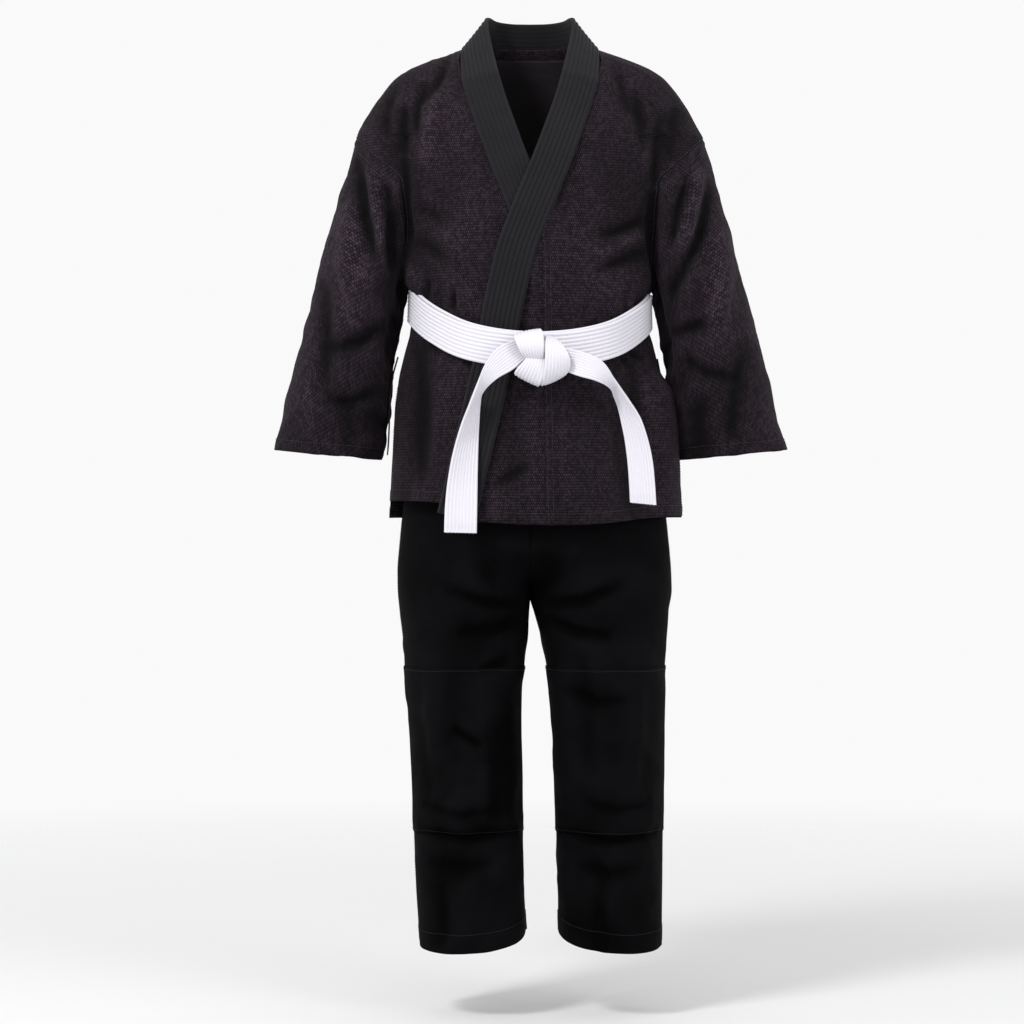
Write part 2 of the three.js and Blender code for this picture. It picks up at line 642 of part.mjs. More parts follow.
function addPart(name, solid, material) {
  const mesh = new THREE.Mesh(fromSolid(solid), material);
  mesh.name = name;
  uniform.add(mesh);
}

const mirrored = (solid, side) => (side === 'left' ? solid : solid.mirror([1, 0, 0]));

addPart('back_panel_left', backLeft, JACKET_CLOTH);
addPart('back_panel_right', backRight, JACKET_CLOTH);
addPart('yoke_lining', yokeLining, JACKET_CLOTH);
addPart('front_panel_left', frontLeft.intersect(leftOf(OVERLAP_SEAM_X + SEAM_GAP / 2)), JACKET_CLOTH);
addPart('front_overlap_left', frontLeft.intersect(rightOf(OVERLAP_SEAM_X - SEAM_GAP / 2)), JACKET_CLOTH);
addPart('front_panel_right', frontRight.intersect(rightOf(-OVERLAP_SEAM_X - SEAM_GAP / 2)), JACKET_CLOTH);
addPart('front_overlap_right', frontRight.intersect(leftOf(-OVERLAP_SEAM_X + SEAM_GAP / 2)), JACKET_CLOTH);
addPart('collar_back', collarBack(), BAND_CLOTH);
addPart('lapel_left', lapel(leftFrontOut).subtract(belowHem(JACKET_HEM_Z)), BAND_CLOTH);
addPart('lapel_right', lapel(onTheForm).subtract(belowHem(UNDER_HEM_Z)).mirror([1, 0, 0]), BAND_CLOTH);

for (const side of ['left', 'right']) {
  addPart(`sleeve_${side}`, mirrored(sleeve, side), JACKET_CLOTH);
  addPart(`cuff_hem_${side}`, mirrored(cuffHem, side), JACKET_CLOTH);
  addPart(`side_tie_${side}`, sideTie(side), JACKET_CLOTH);
}

addPart('belt_wrap_inner', beltWrap(0), BELT_CLOTH);
addPart('belt_wrap_outer', beltWrap(1), BELT_CLOTH);
addPart('belt_knot', knot(), BELT_CLOTH);
addPart('belt_tail_left', tail(TAIL_LINES.left), BELT_CLOTH);
addPart('belt_tail_right', tail(TAIL_LINES.right), BELT_CLOTH);

for (const side of ['left', 'right']) {
  for (const [place, y] of [['front', -1], ['back', 1]]) {
    const whole = trouserShell(y, [0, 1], TROUSER_ROWS, -TROUSER_CLOTH, TROUSER_CLOTH, 10);
    addPart(`trouser_${place}_${side}`, mirrored(whole.intersect(hipSide), side), TROUSER_MATERIAL);
    addPart(`leg_${place}_${side}`, mirrored(whole.subtract(hipSideWithGap), side), TROUSER_MATERIAL);
  }
  const knee = trouserShell(-1, [0.1, 0.9],
    [KNEE_TOP_Z, mix(KNEE_TOP_Z, KNEE_BOTTOM_Z, 0.5), KNEE_BOTTOM_Z], LAYER_GAP, TROUSER_CLOTH, 8);
  addPart(`knee_patch_${side}`, mirrored(knee.subtract(hipSideWithGap), side), TROUSER_MATERIAL);
}
addPart('waistband', waistRing(WAISTBAND_Z, WAISTBAND_Z - WAISTBAND_HEIGHT,
  LAYER_GAP, TROUSER_CLOTH), TROUSER_MATERIAL);
addPart('waist_elastic', waistRing(
  WAISTBAND_Z - ELASTIC_INSET, WAISTBAND_Z - WAISTBAND_HEIGHT + ELASTIC_INSET,
  -TROUSER_CLOTH - LAYER_GAP - ELASTIC_THICKNESS, ELASTIC_THICKNESS), ELASTIC);

export default uniform;
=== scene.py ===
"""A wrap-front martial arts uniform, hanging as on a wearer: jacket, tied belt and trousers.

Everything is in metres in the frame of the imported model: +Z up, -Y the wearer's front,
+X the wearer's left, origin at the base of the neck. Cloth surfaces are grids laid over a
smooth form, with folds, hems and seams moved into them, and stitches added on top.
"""
import math

import bmesh
import bpy
import numpy as np
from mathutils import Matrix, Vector


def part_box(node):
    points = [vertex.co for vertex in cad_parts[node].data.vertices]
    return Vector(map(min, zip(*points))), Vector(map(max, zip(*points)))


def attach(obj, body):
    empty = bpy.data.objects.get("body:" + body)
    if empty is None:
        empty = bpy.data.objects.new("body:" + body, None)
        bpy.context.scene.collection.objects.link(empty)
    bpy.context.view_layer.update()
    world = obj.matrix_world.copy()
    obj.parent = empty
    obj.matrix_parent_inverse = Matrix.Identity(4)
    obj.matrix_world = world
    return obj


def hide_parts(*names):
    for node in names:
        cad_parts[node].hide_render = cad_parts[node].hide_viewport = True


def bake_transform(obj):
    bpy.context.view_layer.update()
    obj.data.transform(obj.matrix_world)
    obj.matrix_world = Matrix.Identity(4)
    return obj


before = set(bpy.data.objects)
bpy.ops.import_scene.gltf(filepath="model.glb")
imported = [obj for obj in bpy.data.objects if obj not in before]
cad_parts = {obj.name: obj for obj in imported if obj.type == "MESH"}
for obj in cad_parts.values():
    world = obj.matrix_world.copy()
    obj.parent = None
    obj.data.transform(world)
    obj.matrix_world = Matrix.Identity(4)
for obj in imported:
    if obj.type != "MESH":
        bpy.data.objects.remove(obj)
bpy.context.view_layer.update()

DENSITY = 1.0

# ---- Sizes taken from the frame ----------------------------------------------------------

HEM_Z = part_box("front_panel_left")[0].z
UNDER_HEM_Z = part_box("front_panel_right")[0].z
CUFF_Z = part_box("sleeve_left")[0].z + 0.012
LEG_HEM_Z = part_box("leg_front_left")[0].z + 0.008
WAISTBAND_TOP, WAISTBAND_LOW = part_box("waistband")[1].z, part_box("waistband")[0].z

CLOTH = 0.0018
TROUSER_CLOTH = 0.0015
BAND = 0.0042
BAND_ROWS = 7
BELT = 0.0026
BELT_WIDTH = 0.040
BELT_ROWS = 8

HEM_FOLD = 0.0125  # how far the jacket's hems are turned up, and the trousers'
LEG_HEM_FOLD = 0.022
FOLD_RISE = 0.0006
STITCH_LIFT = 0.0004  # thread above the cloth
BAND_STITCH = (0.0036, 0.0026, 0.00028)  # pitch, length and thickness of a stitch
BELT_STITCH = (0.0036, 0.0026, 0.00026)

# ---- Numbers -----------------------------------------------------------------------------


def clamp01(t):
    return np.clip(t, 0.0, 1.0)


def smooth(t):
    t = clamp01(t)
    return t * t * (3 - 2 * t)


def lerp(a, b, t):
    return a + (b - a) * t


def between(value, low, high):
    """0 below low, 1 above high, smooth between; low may be the larger one."""
    return smooth((value - low) / (high - low))


def profile(points, softness=0.008):
    """A soft curve through [height, value] points, as a function of height."""
    points = sorted(points)
    step = 0.001
    z = np.arange(points[0][0] - 0.05, points[-1][0] + 0.05, step)
    v = np.interp(z, [p[0] for p in points], [p[1] for p in points])
    if softness:
        reach = int(3 * softness / step)
        kernel = np.exp(-0.5 * (np.arange(-reach, reach + 1) * step / softness) ** 2)
        padded = np.pad(v, reach, mode="edge")
        v = np.convolve(padded, kernel / kernel.sum(), mode="valid")
    return lambda height: np.interp(height, z, v)


def run_along(points):
    """How far each point is along a line of points."""
    return np.concatenate([[0], np.cumsum(np.linalg.norm(np.diff(points, axis=0), axis=1))])


def spline(points, count):
    """count points spaced evenly along a smooth curve through the given points."""
    p = np.array(points, float)
    gaps = np.linalg.norm(np.diff(p, axis=0), axis=1)
    t = np.concatenate([[0], np.cumsum(np.maximum(gaps, 1e-9))])
    slope = np.zeros_like(p)
    slope[1:-1] = (p[2:] - p[:-2]) / (t[2:] - t[:-2])[:, None]
    slope[0] = (p[1] - p[0]) / (t[1] - t[0])
    slope[-1] = (p[-1] - p[-2]) / (t[-1] - t[-2])
    at = np.linspace(0, t[-1], 12 * len(p) + 4 * count)
    k = np.clip(np.searchsorted(t, at, side="right") - 1, 0, len(p) - 2)
    h = (t[k + 1] - t[k])[:, None]
    s = ((at - t[k]) / (t[k + 1] - t[k]))[:, None]
    curve = ((2 * s**3 - 3 * s**2 + 1) * p[k] + (s**3 - 2 * s**2 + s) * h * slope[k]
             + (-2 * s**3 + 3 * s**2) * p[k + 1] + (s**3 - s**2) * h * slope[k + 1])
    run = run_along(curve)
    even = np.linspace(0, run[-1], count)
    return np.stack([np.interp(even, run, curve[:, i]) for i in range(curve.shape[1])], axis=1)


class Noise:
    """Smooth random values over a plane, the same on every run."""

    def __init__(self, seed, size=64):
        self.size = size
        self.grid = np.random.default_rng(seed).uniform(-1, 1, (size, size))

    def __call__(self, u, v):
        i, j = np.floor(u).astype(int), np.floor(v).astype(int)
        a, b = u - i, v - j
        a, b = a**3 * (a * (6 * a - 15) + 10), b**3 * (b * (6 * b - 15) + 10)
        g, n = self.grid, self.size
        top = lerp(g[i % n, j % n], g[(i + 1) % n, j % n], a)
        low = lerp(g[i % n, (j + 1) % n], g[(i + 1) % n, (j + 1) % n], a)
        return lerp(top, low, b)


def wrinkles(seed, u, v, pitch_u, pitch_v, octaves=3):
    """Layered noise with its own pitch along u and v; each layer is twice as fine."""
    u, v = np.broadcast_arrays(u, v)
    total = np.zeros(u.shape)
    for k in range(octaves):
        warp = Noise(seed + 50 + k)(u / pitch_u * 0.5, v / pitch_v * 0.5) * 0.8
        total += Noise(seed + k)(u * 2**k / pitch_u + warp, v * 2**k / pitch_v + warp) / 2**k
    return total


def crease(x, z, points, width, depth, fade=0.5):
    """A soft groove (depth < 0) or ridge (depth > 0) along a line of (x, z) points."""
    p = np.array(points, float)
    lengths = np.linalg.norm(np.diff(p, axis=0), axis=1)
    total = lengths.sum()
    best = np.full(x.shape, 1e9)
    along = np.zeros(x.shape)
    run = 0.0
    for k, length in enumerate(lengths):
        d = p[k + 1] - p[k]
        t = clamp01(((x - p[k, 0]) * d[0] + (z - p[k, 1]) * d[1]) / (d @ d))
        gap = np.hypot(x - p[k, 0] - t * d[0], z - p[k, 1] - t * d[1])
        nearer = gap < best
        best = np.where(nearer, gap, best)
        along = np.where(nearer, (run + t * length) / total, along)
        run += length
    taper = np.sin(math.pi * np.clip(along, 0.001, 0.999)) ** fade
    return depth * np.exp(-((best / width) ** 2)) * taper


def normals_of(p, outward=None):
    """Unit normals of a grid of points; outward is a rough direction to agree with."""
    du = np.gradient(p, axis=1)
    dv = np.gradient(p, axis=0)
    n = np.cross(du, dv)
    length = np.linalg.norm(n, axis=2, keepdims=True)
    n = n / np.maximum(length, 1e-12)
    if outward is not None:
        n = np.where((n * outward).sum(axis=2, keepdims=True) < 0, -n, n)
    return n


def joined(grid):
    """A grid with its first column again after the last."""
    return np.concatenate([grid, grid[:, :1]], axis=1)


def cloth_normals(points, outward, closed):
    """Unit normals of a grid that may be a closed tube."""
    if not closed:
        return normals_of(points, outward)
    wrap = lambda grid: np.concatenate([grid[:, -1:], joined(grid)], axis=1)
    return normals_of(wrap(points), None if outward is None else wrap(outward))[:, 1:-1]


def band_normals(along, across, out):
    """Unit normals along a band, turned to agree with out."""
    n = np.cross(along, across)
    n /= np.maximum(np.linalg.norm(n, axis=1, keepdims=True), 1e-12)
    return np.where((n * out).sum(axis=1, keepdims=True) < 0, -n, n)


def quads_of(index):
    """The corners of each cell in a grid of point numbers."""
    return np.stack([index[:-1, :-1].ravel(), index[:-1, 1:].ravel(),
                     index[1:, 1:].ravel(), index[1:, :-1].ravel()], 1)


# ---- Meshes ------------------------------------------------------------------------------

# Painted light on flat cloth, on a scale from 0 (darkest painted shade) to 1 (lightest).
EVEN_PAINTED_LIGHT = 0.62


def painted_light_of(relief):
    """Painted light from the folds: ridges painted lighter, folds painted in shade."""
    return clamp01(EVEN_PAINTED_LIGHT + relief / 0.0085)


def make_mesh(name, points, faces, uvs, material, painted_light=None):
    """A smooth-shaded object from arrays of points and quads; uvs has one row for each point.
    The last argument is the painted light and shade at each point, from 0 (darkest painted shade)
    to 1 (lightest)."""
    name = name.replace(" ", "_") + "_cloth"
    mesh = bpy.data.meshes.new(name)
    mesh.vertices.add(len(points))
    mesh.vertices.foreach_set("co", np.asarray(points, np.float32).ravel())
    faces = np.asarray(faces, np.int32)
    mesh.loops.add(faces.size)
    mesh.loops.foreach_set("vertex_index", faces.ravel())
    mesh.polygons.add(len(faces))
    mesh.polygons.foreach_set("loop_start", np.arange(0, faces.size, 4, dtype=np.int32))
    mesh.polygons.foreach_set("use_smooth", np.ones(len(faces), bool))
    layer = mesh.uv_layers.new(name="cloth")
    layer.data.foreach_set("uv", np.asarray(uvs, np.float32)[faces.ravel()].ravel())
    if painted_light is not None:
        # Painted light and shade at each point, read by the cloth shaders.
        fade = mesh.attributes.new("painted_light", "FLOAT", "POINT")
        fade.data.foreach_set("value", np.asarray(painted_light, np.float32).ravel())
    mesh.update(calc_edges=True)
    mesh.validate()
    obj = bpy.data.objects.new(name, mesh)
    bpy.context.scene.collection.objects.link(obj)
    obj.data.materials.append(material)
    return obj


def weld(obj, reach=2e-6):
    bm = bmesh.new()
    bm.from_mesh(obj.data)
    bmesh.ops.remove_doubles(bm, verts=bm.verts, dist=reach)
    bmesh.ops.dissolve_degenerate(bm, edges=bm.edges, dist=1e-7)
    bm.to_mesh(obj.data)
    bm.free()
    return obj


def cloth_shell(name, outer, thickness, uv, material, closed=False, outward=None, painted_light=None):
    """A closed shell of cloth: `outer` is a grid of points, and the inside is moved in along
    the normals. closed joins the last column to the first."""
    rows, cols = outer.shape[:2]
    n = cloth_normals(outer, outward, closed)
    inner = outer - n * thickness
    points = np.concatenate([outer.reshape(-1, 3), inner.reshape(-1, 3)])
    uvs = np.concatenate([uv.reshape(-1, 2), uv.reshape(-1, 2)])
    # Painted light and shade for both faces of the shell.
    painted_shade = np.tile(np.full((rows, cols), EVEN_PAINTED_LIGHT) if painted_light is None else painted_light, (2, 1))
    index = np.arange(rows * cols).reshape(rows, cols)
    if closed:
        index = joined(index)
    shift = rows * cols
    quads = quads_of(index)
    faces = [quads, quads[:, [0, 3, 2, 1]] + shift]
    rims = [(index[0], 1), (index[-1], 0)]
    if not closed:
        rims += [(index[:, 0], 0), (index[:, -1], 1)]
    for line, turn in rims:
        p, q = line[:-1], line[1:]
        quad = np.stack([p, p + shift, q + shift, q], 1)
        faces.append(quad if turn else quad[:, ::-1])
    faces = np.concatenate(faces)
    mid_r, mid_c = rows // 2, cols // 2
    face_normal = np.cross(outer[mid_r, mid_c + 1] - outer[mid_r, mid_c],
                           outer[mid_r + 1, mid_c] - outer[mid_r, mid_c])
    if (face_normal @ n[mid_r, mid_c]) < 0:
        faces = faces[:, ::-1]
    return weld(make_mesh(name, points, faces, uvs, material, painted_shade))


def section(width, thickness, rows, groove, puff):
    """The outline of a quilted band cut across: [across, out] points, right round.
    Stitch rows pull grooves into its face."""
    r = thickness / 2
    count = int(max(10, rows * 8) * (1))
    top = []
    for w in np.linspace(width - r, r, count):
        share = (w / width) * (rows + 1)
        near = abs(share - round(share)) * width / (rows + 1)
        held = math.exp(-((near / 0.0009) ** 2)) if 0 < round(share) <= rows else 0.0
        top.append((w, thickness + puff * abs(math.sin(math.pi * share)) - groove * held))
    right = [(width - r + r * math.sin(a), r - r * math.cos(a))
             for a in np.linspace(0, math.pi, 7)[1:-1]]
    left = [(r - r * math.sin(a), r + r * math.cos(a)) for a in np.linspace(0, math.pi, 7)[1:-1]]
    under = [(w, 0.0) for w in np.linspace(r, width - r, 6)]
    return np.array(under + right + top + left)


def band(name, edge_a, edge_b, out, thickness, rows, material, groove=0.0004, puff=0.0003,
         crown=0.0, loop=False, width=None):
    """A flat band between two edge curves (same count of points), with rounded sides and
    stitched grooves. `out` is the way its face looks, one direction or one for each point."""
    edge_a, edge_b = np.asarray(edge_a), np.asarray(edge_b)
    n_rows = len(edge_a)
    width = width or float(np.median(np.linalg.norm(edge_b - edge_a, axis=1)))
    outline = section(width, thickness, rows, groove, puff)
    across, middle = edge_b - edge_a, (edge_a + edge_b) / 2
    if loop:
        along = np.roll(middle, -1, axis=0) - np.roll(middle, 1, axis=0)
    else:
        along = np.gradient(middle, axis=0)
    n = band_normals(along, across, out)
    share = outline[:, 0] / width
    lift = outline[:, 1] + crown * (1 - (2 * share - 1) ** 2)
    grid = (edge_a[:, None] + across[:, None] * share[None, :, None]
            + n[:, None] * lift[None, :, None])
    cols = len(outline)
    run = run_along(middle)
    uv = np.stack(np.broadcast_arrays(outline[None, :, 0], run[:, None]), axis=2)
    index = np.arange(n_rows * cols).reshape(n_rows, cols)
    skin = joined(index)
    if loop:
        skin = np.concatenate([skin, skin[:1]], axis=0)
    faces = quads_of(skin)
    if not loop:
        ends = []
        for row, turn in ((0, 1), (n_rows - 1, 0)):
            line = index[row]
            for k in range(cols // 2 - 1):
                quad = [line[k], line[k + 1], line[cols - 2 - k], line[cols - 1 - k]]
                ends.append(quad if turn else quad[::-1])
        faces = np.concatenate([faces, np.array(ends)])
    top = int(np.argmax(outline[:, 1]))
    r = n_rows // 2
    face_normal = np.cross(grid[r, (top + 1) % cols] - grid[r, top],
                           grid[r + 1, top] - grid[r, top])
    if face_normal @ n[r] < 0:
        faces = faces[:, ::-1]
    return weld(make_mesh(name, grid.reshape(-1, 3), faces, uv.reshape(-1, 2), material))


# ---- The wearer's form under the jacket ---------------------------------------------------

half_width = profile([
    [0.055, 0.050], [0.030, 0.058], [0.012, 0.074], [0.008, 0.086], [0.002, 0.104],
    [-0.0035, 0.121], [-0.013, 0.143], [-0.022, 0.157], [-0.032, 0.166], [-0.041, 0.173],
    [-0.060, 0.186], [-0.079, 0.196], [-0.094, 0.205], [-0.110, 0.206], [-0.125, 0.202],
    [-0.150, 0.190], [-0.165, 0.178], [-0.180, 0.166], [-0.200, 0.158], [-0.220, 0.154],
    [-0.250, 0.149], [-0.270, 0.144], [-0.290, 0.136], [-0.320, 0.140], [-0.345, 0.147],
    [-0.370, 0.153], [-0.400, 0.157], [-0.440, 0.160], [-0.490, 0.163], [-0.560, 0.166],
], 0.003)
front_depth = profile([
    [0.055, 0.046], [0.012, 0.050], [0.000, 0.055], [-0.010, 0.060], [-0.030, 0.068],
    [-0.050, 0.076], [-0.090, 0.089], [-0.127, 0.098], [-0.180, 0.107], [-0.250, 0.110],
    [-0.300, 0.105], [-0.341, 0.100], [-0.370, 0.104], [-0.420, 0.110], [-0.560, 0.117],
], 0.010)
back_depth = profile([
    [0.055, 0.050], [0.012, 0.058], [0.000, 0.063], [-0.030, 0.076], [-0.060, 0.087],
    [-0.110, 0.099], [-0.180, 0.105], [-0.240, 0.101], [-0.288, 0.092], [-0.330, 0.097],
    [-0.380, 0.105], [-0.460, 0.112], [-0.560, 0.115],
], 0.010)
armhole_x = profile([
    [-0.094, 0.205], [-0.110, 0.190], [-0.125, 0.174], [-0.140, 0.157], [-0.150, 0.1515],
    [-0.180, 0.149], [-0.220, 0.148], [-0.270, 0.1485],
], 0.003)
ARMPIT_Z = -0.270
SHOULDER_Z = -0.094


def depth_at(turn, z):
    return np.where(np.sin(turn) >= 0, front_depth(z), back_depth(z))


def form(turn, z, lift=0.0):
    """Points on the form, lifted off it. turn is 0 at the left side and 90 degrees in front."""
    turn, z, lift = np.broadcast_arrays(np.asarray(turn, float), z, lift)
    a, b = half_width(z), depth_at(turn, z)
    step = 0.002
    slope_a = (half_width(z + step) - half_width(z - step)) / (2 * step)
    slope_b = (depth_at(turn, z + step) - depth_at(turn, z - step)) / (2 * step)
    c, s = np.cos(turn), np.sin(turn)
    n = np.stack([c / a, -s / b, -(c * c * slope_a / a + s * s * slope_b / b)], axis=-1)
    n /= np.linalg.norm(n, axis=-1, keepdims=True)
    return np.stack([a * c, -b * s, z], axis=-1) + n * lift[..., None]


def turn_of(x, z):
    return np.arccos(np.clip(x / half_width(z), -0.9999, 0.9999))


def on_front(x, z, lift=0.0):
    return form(turn_of(x, z), z, lift)


def rows_down(top, low, pitch):
    """Heights from top to low, closer together where the shoulders slope."""
    z = np.linspace(top, low, 800)
    run = np.concatenate([[0], np.cumsum(np.hypot(np.diff(z), np.diff(half_width(z))))])
    count = max(4, int(run[-1] / pitch * DENSITY))
    return np.interp(np.linspace(0, run[-1], count), run, z)


def body_uv(turn, z):
    """Cloth coordinates in metres: round from the front or back middle, and down."""
    middle = np.where(np.sin(turn) >= -1e-9, math.pi / 2, -math.pi / 2)
    middle = np.where(turn > math.pi, 1.5 * math.pi, middle)
    run = np.zeros(turn.shape)
    steps = 24
    a, b = half_width(z), depth_at(turn, z)
    for k in range(steps):
        t = lerp(middle, turn, (k + 0.5) / steps)
        run += np.hypot(a * np.sin(t), b * np.cos(t)) * (middle - turn) / steps
    down = np.concatenate([np.zeros((1, z.shape[1])), np.cumsum(np.sqrt(
        np.diff(z, axis=0) ** 2 + (0.8 * np.diff(half_width(z), axis=0)) ** 2), axis=0)])
    return np.stack([run, down], axis=-1)


# ---- Belt path and lapel edges ------------------------------------------------------------

BELT_SIDE_Z = -0.2915
BELT_SAG = 0.057
BELT_TILT = 0.0045


def belt_height(turn):
    s = np.sin(turn)
    middle = BELT_SIDE_Z - BELT_TILT * np.cos(turn)
    return middle + np.where(s > 0, -BELT_SAG * np.abs(s) ** 1.5, 0.006 * np.abs(s) ** 2)


LAPEL_WIDTH = 0.0435
LAPEL_INNER = [(0.040, -0.0106), (0.029, -0.0506), (0.015, -0.0917), (0.002, -0.127),
               (-0.019, -0.179), (-0.035, -0.223), (-0.049, -0.282), (-0.062, -0.353),
               (-0.080, -0.435), (-0.104, -0.540)]
COLLAR_STATIONS = [  # inner edge, outer edge, from the middle of the neck to the left front
    [0.000, 0.050, 0.049, 0.000, 0.064, 0.006],
    [0.021, 0.047, 0.049, 0.028, 0.060, 0.007],
    [0.037, 0.035, 0.0495, 0.052, 0.044, 0.009],
    [0.045, 0.014, 0.0500, 0.067, 0.018, 0.0120],
    [0.0475, -0.008, 0.044, 0.076, -0.011, 0.0085],
    [0.0465, -0.027, 0.0235, 0.080, -0.034, -0.004],
]
inner_line = spline(LAPEL_INNER, 160)
inner_way = np.gradient(inner_line, axis=0)
inner_way /= np.linalg.norm(inner_way, axis=1, keepdims=True)
outer_line = inner_line + LAPEL_WIDTH * np.stack([-inner_way[:, 1], inner_way[:, 0]], axis=1)


def lapel_inner_x(z):
    return np.interp(-z, -inner_line[:, 1], inner_line[:, 0])


def lapel_outer_x(z):
    return np.interp(-z, np.concatenate([[-0.008, 0.004], -outer_line[3:, 1]]),
                     np.concatenate([[0.078, 0.083], outer_line[3:, 0]]))


# ---- Folds in the jacket ------------------------------------------------------------------

SHOULDER_FOLDS = [
    ([(-0.094, 0.004), (-0.1035, -0.028), (-0.1247, -0.061)], 0.0060, -0.0022),
    ([(-0.121, -0.034), (-0.1305, -0.061), (-0.1317, -0.098)], 0.0060, -0.0024),
    ([(-0.1458, -0.059), (-0.147, -0.086), (-0.1458, -0.121)], 0.0065, -0.0030),
    ([(-0.1564, -0.034), (-0.1646, -0.059), (-0.168, -0.098)], 0.0070, -0.0020),
    ([(-0.1458, -0.121), (-0.1423, -0.200), (-0.1458, -0.262)], 0.0060, -0.0030),
    ([(-0.110, -0.050), (-0.117, -0.090), (-0.121, -0.140)], 0.0090, 0.0018),
    ([(0.1423, -0.160), (0.140, -0.200), (0.1458, -0.245), (0.147, -0.274)], 0.0060, -0.0030),
    ([(0.1517, -0.073), (0.147, -0.109), (0.1446, -0.158)], 0.0065, -0.0030),
    ([(0.120, -0.040), (0.128, -0.080), (0.131, -0.120)], 0.0070, -0.0020),
    ([(0.098, -0.010), (0.106, -0.040), (0.114, -0.075)], 0.0070, -0.0018),
    ([(0.170, -0.060), (0.163, -0.095), (0.158, -0.130)], 0.0070, -0.0020),
]
CHEST_FOLDS = [
    ([(0.1364, -0.193), (0.1035, -0.208), (0.0764, -0.2176)], 0.0055, -0.0022),
    ([(0.1364, -0.229), (0.0953, -0.247), (0.0706, -0.2587)], 0.0060, -0.0022),
    ([(0.133, -0.210), (0.100, -0.227), (0.074, -0.238)], 0.0060, 0.0018),
    ([(-0.135, -0.215), (-0.110, -0.232), (-0.086, -0.250)], 0.0070, -0.0018),
    ([(-0.134, -0.180), (-0.112, -0.190), (-0.090, -0.205)], 0.0070, -0.0014),
    ([(-0.088, -0.270), (-0.089, -0.300)], 0.0035, -0.0022),
    ([(-0.118, -0.262), (-0.121, -0.292)], 0.0040, -0.0018),
    ([(0.060, -0.290), (0.058, -0.318)], 0.0040, -0.0016),
    ([(0.106, -0.275), (0.109, -0.302)], 0.0045, -0.0020),
]
SKIRT_FOLDS = [
    ([(-0.050, -0.505), (-0.002, -0.4786)], 0.0060, -0.0020),
    ([(0.1117, -0.3446), (0.1317, -0.356)], 0.0040, -0.0022),
    ([(0.100, -0.350), (0.120, -0.366)], 0.0045, -0.0016),
    ([(-0.118, -0.335), (-0.100, -0.352)], 0.0045, -0.0018),
    ([(-0.130, -0.330), (-0.122, -0.400), (-0.126, -0.500)], 0.0090, -0.0022),
    ([(0.074, -0.385), (0.070, -0.450), (0.078, -0.535)], 0.0090, -0.0020),
    ([(0.118, -0.370), (0.124, -0.440), (0.128, -0.530)], 0.0090, -0.0022),
    ([(0.042, -0.400), (0.040, -0.470), (0.044, -0.530)], 0.0100, 0.0014),
]


def folds(x, z, listed, strength=2.5):
    total = np.zeros(np.shape(x))
    for points, width, depth in listed:
        total += strength * crease(x, z, points, width, depth)
    return total


def jacket_relief(turn, z):
    """How far folds and wrinkles move the jacket's cloth in or out."""
    a = half_width(z)
    x = a * np.cos(turn)
    front = between(np.sin(turn), 0.02, 0.22)
    back = between(-np.sin(turn), 0.02, 0.22)
    run = a * turn
    from_belt = z - belt_height(turn)
    total = front * folds(x, z, SHOULDER_FOLDS + CHEST_FOLDS + SKIRT_FOLDS)
    sides = between(np.abs(x) / a, 0.35, 0.95)
    chest = between(z, -0.02, -0.08) * between(z, -0.36, -0.30)
    total += 0.0024 * wrinkles(11, x + 0.4 * z, z, 0.045, 0.090) * chest * (0.45 + 0.8 * sides)
    total += back * 0.0026 * wrinkles(31, x - 0.3 * z, z, 0.060, 0.110) * chest
    skirt = between(z, -0.33, -0.46)
    total += 0.0030 * wrinkles(23, run, z, 0.040, 0.320, 2) * skirt
    near_belt = np.exp(-np.abs(np.abs(from_belt) - 0.024) / 0.022)
    total += 0.0020 * wrinkles(41, run, z, 0.012, 0.120, 2) * near_belt
    total += 0.0004 * wrinkles(57, run, z, 0.012, 0.015, 2)
    total *= between(np.abs(np.sin(turn)), 0.0, 0.14)
    total *= 1 - 0.9 * np.exp(-((from_belt / 0.024) ** 6))
    total += 0.013 * between(z, -0.362, -0.400) * between(np.cos(turn), 0.72, 1.0)
    total += 0.0030 * np.exp(-(((from_belt - 0.050) / 0.026) ** 2)) * (0.5 + 0.5 * sides)
    total -= 0.0020 * np.exp(-((from_belt / 0.022) ** 2))
    lapel_x = (lapel_inner_x(z) + lapel_outer_x(z)) / 2
    hushed = 1 - 0.75 * np.exp(-(((x - lapel_x) / 0.030) ** 2)) * front
    over_lapel = between(-z, 0.16, 0.22) * np.exp(-(((x + lapel_x) / 0.030) ** 4))
    return total * hushed * (1 - 0.92 * over_lapel * front)


def left_lift(x, z):
    """The left front lies over the right one, and over the right one's lapel."""
    over_front = between(x, 0.125, 0.075) * between(z, -0.03, -0.11)
    ridge = (between(x, -lapel_outer_x(z) - 0.014, -lapel_outer_x(z) + 0.004)
             * between(x, -lapel_inner_x(z) + 0.016, -lapel_inner_x(z) - 0.004))
    return 0.0024 * over_front + 0.0062 * ridge * between(z, -0.04, -0.14)


def lapel_lift(z):
    return 0.0006 + 0.0050 * between(z, -0.050, -0.120)


# ---- Cloth panels -------------------------------------------------------------------------


